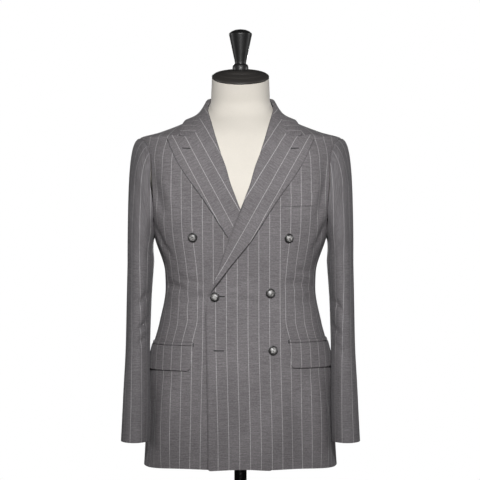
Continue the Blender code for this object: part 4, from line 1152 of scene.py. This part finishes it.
def breast_welt():
    up, share = shares_for(WELT_TOP - WELT_BOTTOM)[:, None], shares_for(WELT_OUTER - WELT_INNER)
    out, height = np.broadcast_arrays(mix(WELT_INNER + WELT_LEAN * up - 0.012, WELT_OUTER, share),
                                      mix(WELT_BOTTOM, WELT_TOP, up) + WELT_RISE * share)
    angle = front_angle(out, height)
    lift = LAYER * 0.5 + THIN_WALL + 0.0003 * up + 0.0012 * rise_between(share, 0.0, 0.3)
    laid("breast_welt", "left", angle, height, np.minimum(lift, LAYER + THIN_WALL),
         front_threads("left", angle, height), "laid", ["front_left"], wall=THIN_WALL, bulge=THIN_BULGE)


# ---- Turned and round pieces ----

def ring_mesh(name, rings, material, closed=True, layer=None, flat=None):
    """A smooth body through a stack of rings, given as (ring, point, 3), with its ends closed."""
    count, sides = rings.shape[:2]
    index = np.arange(count * sides).reshape(count, sides)
    index = np.concatenate([index, index[:, :1]], axis=1)
    vertices, faces = rings.reshape(-1, 3), quads_of(index).tolist()
    if closed:
        middle = len(vertices)
        vertices = np.concatenate([vertices, [rings[0].mean(0)], [rings[-1].mean(0)]])
        faces += [(b, a, middle) for a, b in zip(index[0].tolist(), index[0, 1:].tolist())]
        faces += [(a, b, middle + 1) for a, b in zip(index[-1].tolist(), index[-1, 1:].tolist())]
    return add_mesh(name, vertices, faces, material, layer, flat)


def softened(profile, radius=0.0004, steps=4):
    """A profile's (radius, height) rows with each corner rounded off."""
    corners = [np.array(row, float) for row in profile]
    result = [corners[0]]
    for before, corner, after in zip(corners, corners[1:], corners[2:]):
        near = min(radius, *(0.45 * np.linalg.norm(other - corner) for other in (before, after)))
        start, end = (corner + unit(other - corner) * near for other in (before, after))
        for share in np.arange(steps + 1) / steps:
            result.append(mix(mix(start, corner, share), mix(corner, end, share), share))
    return np.array(result + [corners[-1]])


def round_turns(sides):
    return np.arange(sides) * 2 * math.pi / sides


def turned(profile, sides):
    """A profile's rows turned round the upright axis."""
    radius, turns = profile[:, :1], round_turns(sides)
    x, y = radius * np.sin(turns), -radius * np.cos(turns)
    return np.stack([x, y, profile[:, 1:] + 0 * x], -1)


def lathe(node, finish, profile, material, sides, foot=(0.0, 0.0, 0.0), tilts=None):
    rings = turned(profile, sides)
    if tilts is not None:
        rings[..., 2] += rings[..., 1] * math.tan(NECK_TILT) * tilts[:, None]
    own(ring_mesh(f"{node}_{finish}", rings + np.array(foot), material), node)


def tube_loop(path, radius, sides, ripple=0.0, pitch=0.0006):
    """Rings of points round a closed path, its thickness rippled as thread lies."""
    after = np.roll(path, -1, 0)
    way = unit(after - np.roll(path, 1, 0))
    length = np.append(0, np.cumsum(np.linalg.norm(after - path, axis=-1))[:-1])
    reach = radius * (1 + ripple * np.sin(2 * math.pi * length / pitch))
    turns = round_turns(sides)[:, None]
    rings = path[:, None] + reach[:, None, None] * (
        unit(np.cross(way, UP))[:, None] * np.cos(turns) + UP * np.sin(turns) * 0.7)
    return np.concatenate([rings, rings[:1]])


def seat_matrix(side, out, height, lift, turn=0.0):
    """Axes on the cloth of a front: x round towards the wearer's left, y up, z off the cloth."""
    offsets = np.array([(0, 0), (0.8, 0), (-0.8, 0), (0, 0.002), (0, -0.002)])
    points = body_points(side, front_angle(out, height) + offsets[:, 0], height + offsets[:, 1], np.zeros(5))
    across = unit(points[1] - points[2])
    facing = unit(np.cross(across, unit(points[3] - points[4])))
    seat = points[0] + facing * lift
    if side == "right":
        seat, facing, across = seat * FLIP_X, facing * FLIP_X, -across * FLIP_X
    across = across * math.cos(turn) + unit(np.cross(facing, across)) * math.sin(turn)
    return seat, np.stack([across, unit(np.cross(facing, across)), facing])


def button(spec):
    """A domed horn button on a shank, with a thin rim and a flat-topped crown."""
    turn = np.linspace(0, 1, 26)[1:] * math.pi / 2
    crown = np.stack([CROWN_RADIUS * np.cos(turn) ** 0.9, CROWN_FOOT + CROWN_HEIGHT * np.sin(turn)], -1)
    crown[-1, 0] = 0.0001
    local = turned(np.concatenate([softened(BUTTON_RIM, 0.0006)[1:], crown]), BUTTON_SIDES)
    seat, axes = seat_matrix(spec.side, spec.out, spec.height, BUTTON_STANDOFF, math.radians(spec.turn))
    flat = np.concatenate([local.reshape(-1, 3), [local[0].mean(0)], [local[-1].mean(0)]])[:, :2]
    own(ring_mesh(f"{spec.name}_horn", seat + local @ axes, HORN_PAINTED_SHADE, True, "Face", flat), spec.name)
    shank = turned(softened([(0.002, -BUTTON_STANDOFF), (0.0023, -BUTTON_STANDOFF + 0.0002), (0.0023, 0.0),
                             (0.0021, 0.0001)]), BUTTON_SIDES)
    own(ring_mesh(f"{spec.name}_shank", seat + shank @ axes, GREY_THREAD), None)


def buttonhole(name, side, out, height, length, lift, lean=0.0):
    """A worked buttonhole: a rippled roll of silk round a dark slit."""
    half, gap = length / 2 - 0.0006, SLIT_HALF_WIDTH
    turn = np.linspace(-math.pi / 2, math.pi / 2, 7)[1:-1]
    straight = np.linspace(-half, half, int(length / 0.00022))
    lower = np.stack([straight, np.full(straight.shape, -gap)], -1)
    right = np.stack([half + gap * np.cos(turn), gap * np.sin(turn)], -1)
    path = np.pad(np.concatenate([lower, right, -lower, -right]), ((0, 0), (0, 1)))
    seat, axes = seat_matrix(side, out, height, lift, lean)
    rings = seat + tube_loop(path, SILK_RADIUS, SILK_SIDES, SILK_RIPPLE) @ axes
    own(ring_mesh(f"stitches_{name}", rings, DARK_THREAD, False), None)


# ---- The dress form and its stand ----

def neck_rings(first):
    """Rings from the torso's last one smoothly through the neck's own."""
    turns = np.radians(np.arange(FORM_SIDES) * 360 / FORM_SIDES)
    keys = [first]
    for ring in NECK:
        x, y = ring.radius * np.sin(turns), -ring.radius * np.cos(turns)
        middle = mix(NECK_FOOT_MIDDLE, FORM_NECK_MIDDLE, ring.tilt)
        keys.append(np.stack([x, middle + y, ring.height + y * math.tan(NECK_TILT) * ring.tilt], -1))
    for share in np.linspace(0, len(keys) - 1, NECK_STEPS)[1:]:
        row = min(int(share), len(keys) - 2)
        part = share - row
        a, b, after = keys[row], keys[row + 1], keys[min(row + 2, len(keys) - 1)]
        before = keys[row - 1] if row else 2 * a - b
        yield 0.5 * (2 * a + (b - before) * part + (2 * before - 5 * a + 4 * b - after) * part ** 2
                     + (3 * a - before - 3 * b + after) * part ** 3)


def dress_form():
    turns = np.arange(FORM_SIDES) * 360 / FORM_SIDES
    heights = np.append(np.arange(FORM_BOTTOM + FORM_STEP, FORM_NECK_FOOT, FORM_STEP), FORM_NECK_FOOT)
    half_angle, height = np.broadcast_arrays(np.minimum(turns, 360 - turns), heights[:, None])
    torso = surface(half_angle, height) - outward(half_angle, height) * INSET_CURVE(height)[..., None]
    torso[..., 0] *= np.where(turns > 180, -1, 1)
    foot = torso[:1].copy()
    foot[..., 2] = FORM_BOTTOM
    inset = mix(foot, foot.mean(axis=1, keepdims=True), 0.012)
    neck = list(neck_rings(torso[-1]))
    rings = np.concatenate([inset, mix(foot, torso[:1], 0.35), torso, neck])
    # The front of the neck's foot is smoothed.
    near_front = 1 - rise_between(np.minimum(turns, 360 - turns), 38, 66)
    near_foot = np.exp(-((rings[..., 2] - FORM_NECK_FOOT - 0.012) / 0.022) ** 2)
    weight = (0.5 * near_front * near_foot[1:-1])[..., None]
    for _ in range(SMOOTHINGS):
        rings[1:-1] = mix(rings[1:-1], (rings[:-2] + rings[2:]) / 2, weight)
    own(ring_mesh("form_body", rings, COVER), "form_torso")


def stand_pieces():
    profile = softened([(ring.radius, ring.height) for ring in CAP], 0.0005)
    profile = np.concatenate([[[CAP[0].radius - 0.0004, CAP[0].height]], profile[1:]])
    tilts = np.interp(profile[:, 1], [ring.height for ring in CAP], [ring.tilt for ring in CAP])
    neck = (0, FORM_NECK_MIDDLE, 0)
    lathe("neck_cap", "lacquer", profile, CAP_BLACK, 128, neck, tilts)
    lathe("finial", "lacquer", softened(FINIAL_TURNED, 0.0016, 6), BLACK, 96,
          (0, FORM_NECK_MIDDLE, FINIAL_FOOT))
    low, high, chamfer = BASE_TOP + SEAM, FORM_BOTTOM - SEAM, 0.0006
    pole = [(POLE_RADIUS - chamfer, low), (POLE_RADIUS, low + chamfer), (POLE_RADIUS, high - chamfer),
            (POLE_RADIUS - chamfer, high)]
    lathe("pole", "metal", softened(pole), STAND_BLACK, 64)
    lathe("base", "metal", softened(BASE_TURNED, 0.002, 6), STAND_BLACK, 160)


# ---- Floor, light and camera ----

CAMERA_PLACE, CAMERA_TARGET = (0, -4.5, 1.33), (-0.001, 0, 1.2857)
CAMERA_LENS, SENSOR_WIDTH = 160.7, 36.0  # millimetres
FLOOR_RADIUS, FLOOR_SIDES, FLOOR_DROP = 6.0, 96, 0.0005
FLOOR_GLOW = 0.55  # the floor stays pale past the lamps' reach, and lights nothing
WORLD_LIGHT = 0.035
LIGHTS = rows("name place target size power cone",
    ("key", (0.08, -2.4, 2.08), (0.02, 0, 1.24), 0.35, 306, 36),
    ("front_fill", (0.2, -4.0, 1.4), (0, 0, 1.26), 0.6, 92, 24),
    ("behind", (0.0, 3.3, 1.58), (0, 0, 1.15), 1.0, 560, 52),
    ("left", (3.4, 0.5, 1.75), (0, 0, 1.2), 1.0, 100, 50),
    ("right", (-3.4, 0.5, 1.75), (0, 0, 1.2), 1.0, 100, 50),
)


def floor_white():
    n = Nodes("floor_white")
    speckle = n.noise(n.place(), 30.0, 3.0)
    colour = n.shaded((0.62, 0.62, 0.62, 1), n.ranged(speckle, 0.3, 0.7, 0.985, 1.0))
    return n.finish(colour, 0.8, n.bump(speckle, 0.0002, 0.1), Emission_Color=(1, 1, 1, 1),
                    Emission_Strength=FLOOR_GLOW)


def aimed(name, data, place, target):
    """An object that looks from a place towards a target."""
    obj = bpy.data.objects.new(name, data)
    bpy.context.scene.collection.objects.link(obj)
    obj.location = place
    obj.rotation_euler = (Vector(target) - Vector(place)).to_track_quat("-Z", "Y").to_euler()
    return obj


def studio():
    turns = round_turns(FLOOR_SIDES)
    disc = np.stack([np.sin(turns), -np.cos(turns), 0 * turns], -1) * FLOOR_RADIUS
    floor = add_mesh("floor", disc, [tuple(range(FLOOR_SIDES))], floor_white())
    floor.location.z = -FLOOR_DROP
    floor.visible_diffuse = floor.visible_glossy = False

    world = bpy.data.worlds.new("studio")
    world.use_nodes = True
    bpy.context.scene.world = world
    tree = world.node_tree
    background = tree.nodes["Background"]
    background.inputs["Color"].default_value = (1, 1, 1, 1)
    seen = tree.nodes.new("ShaderNodeLightPath")
    strength = tree.nodes.new("ShaderNodeMapRange")
    strength.inputs["To Min"].default_value = WORLD_LIGHT
    strength.inputs["To Max"].default_value = 1.0
    tree.links.new(seen.outputs["Is Camera Ray"], strength.inputs["Value"])
    tree.links.new(strength.outputs[0], background.inputs["Strength"])

    for spec in LIGHTS:
        light = bpy.data.lights.new(spec.name, "SPOT")
        light.shadow_soft_size, light.energy = spec.size / 2, spec.power
        light.spot_size, light.spot_blend = math.radians(spec.cone), 1.0
        aimed(spec.name, light, spec.place, spec.target).visible_camera = False


def camera():
    data = bpy.data.cameras.new("camera")
    data.sensor_width, data.lens = SENSOR_WIDTH, CAMERA_LENS
    bpy.context.scene.camera = aimed("camera", data, CAMERA_PLACE, CAMERA_TARGET)


# ---- The whole scene ----

def build():
    for side in ("left", "right"):
        front(side)
        back(side)
        side_panel(side)
        sleeve_piece("sleeve_top", side, ELBOW_SEAM_TURN - 360, FOREARM_SEAM_TURN)
        sleeve_piece("sleeve_under", side, FOREARM_SEAM_TURN, ELBOW_SEAM_TURN)
        lapel(side)
    collar()
    for flap in FLAPS:
        hip_pocket(flap)
    breast_welt()
    for spec in BUTTONS:
        button(spec)
    buttonhole("fastened", "left", -0.0375, 1.171, 0.011, CLOTH_TOP)
    buttonhole("lower", "left", -0.0442, 1.06, 0.0215, CLOTH_TOP)
    buttonhole("lapel_left", "left", 0.1106, 1.4737, 0.017, LAPEL_TOP, 0.05)
    buttonhole("lapel_right", "right", 0.1106, 1.4737, 0.017, LAPEL_TOP, -0.05)
    for flap in FLAPS:
        out, middle = flap.front - 0.0012, flap.top + SEAM + JETTING_HEIGHT / 2 - 0.0006
        buttonhole(f"tack_{flap.side}", flap.side, out, middle, 0.0068, CLOTH_TOP, math.pi / 2)
    dress_form()
    stand_pieces()


camera()
build()
studio()
bpy.context.scene.view_settings.view_transform = "Standard"
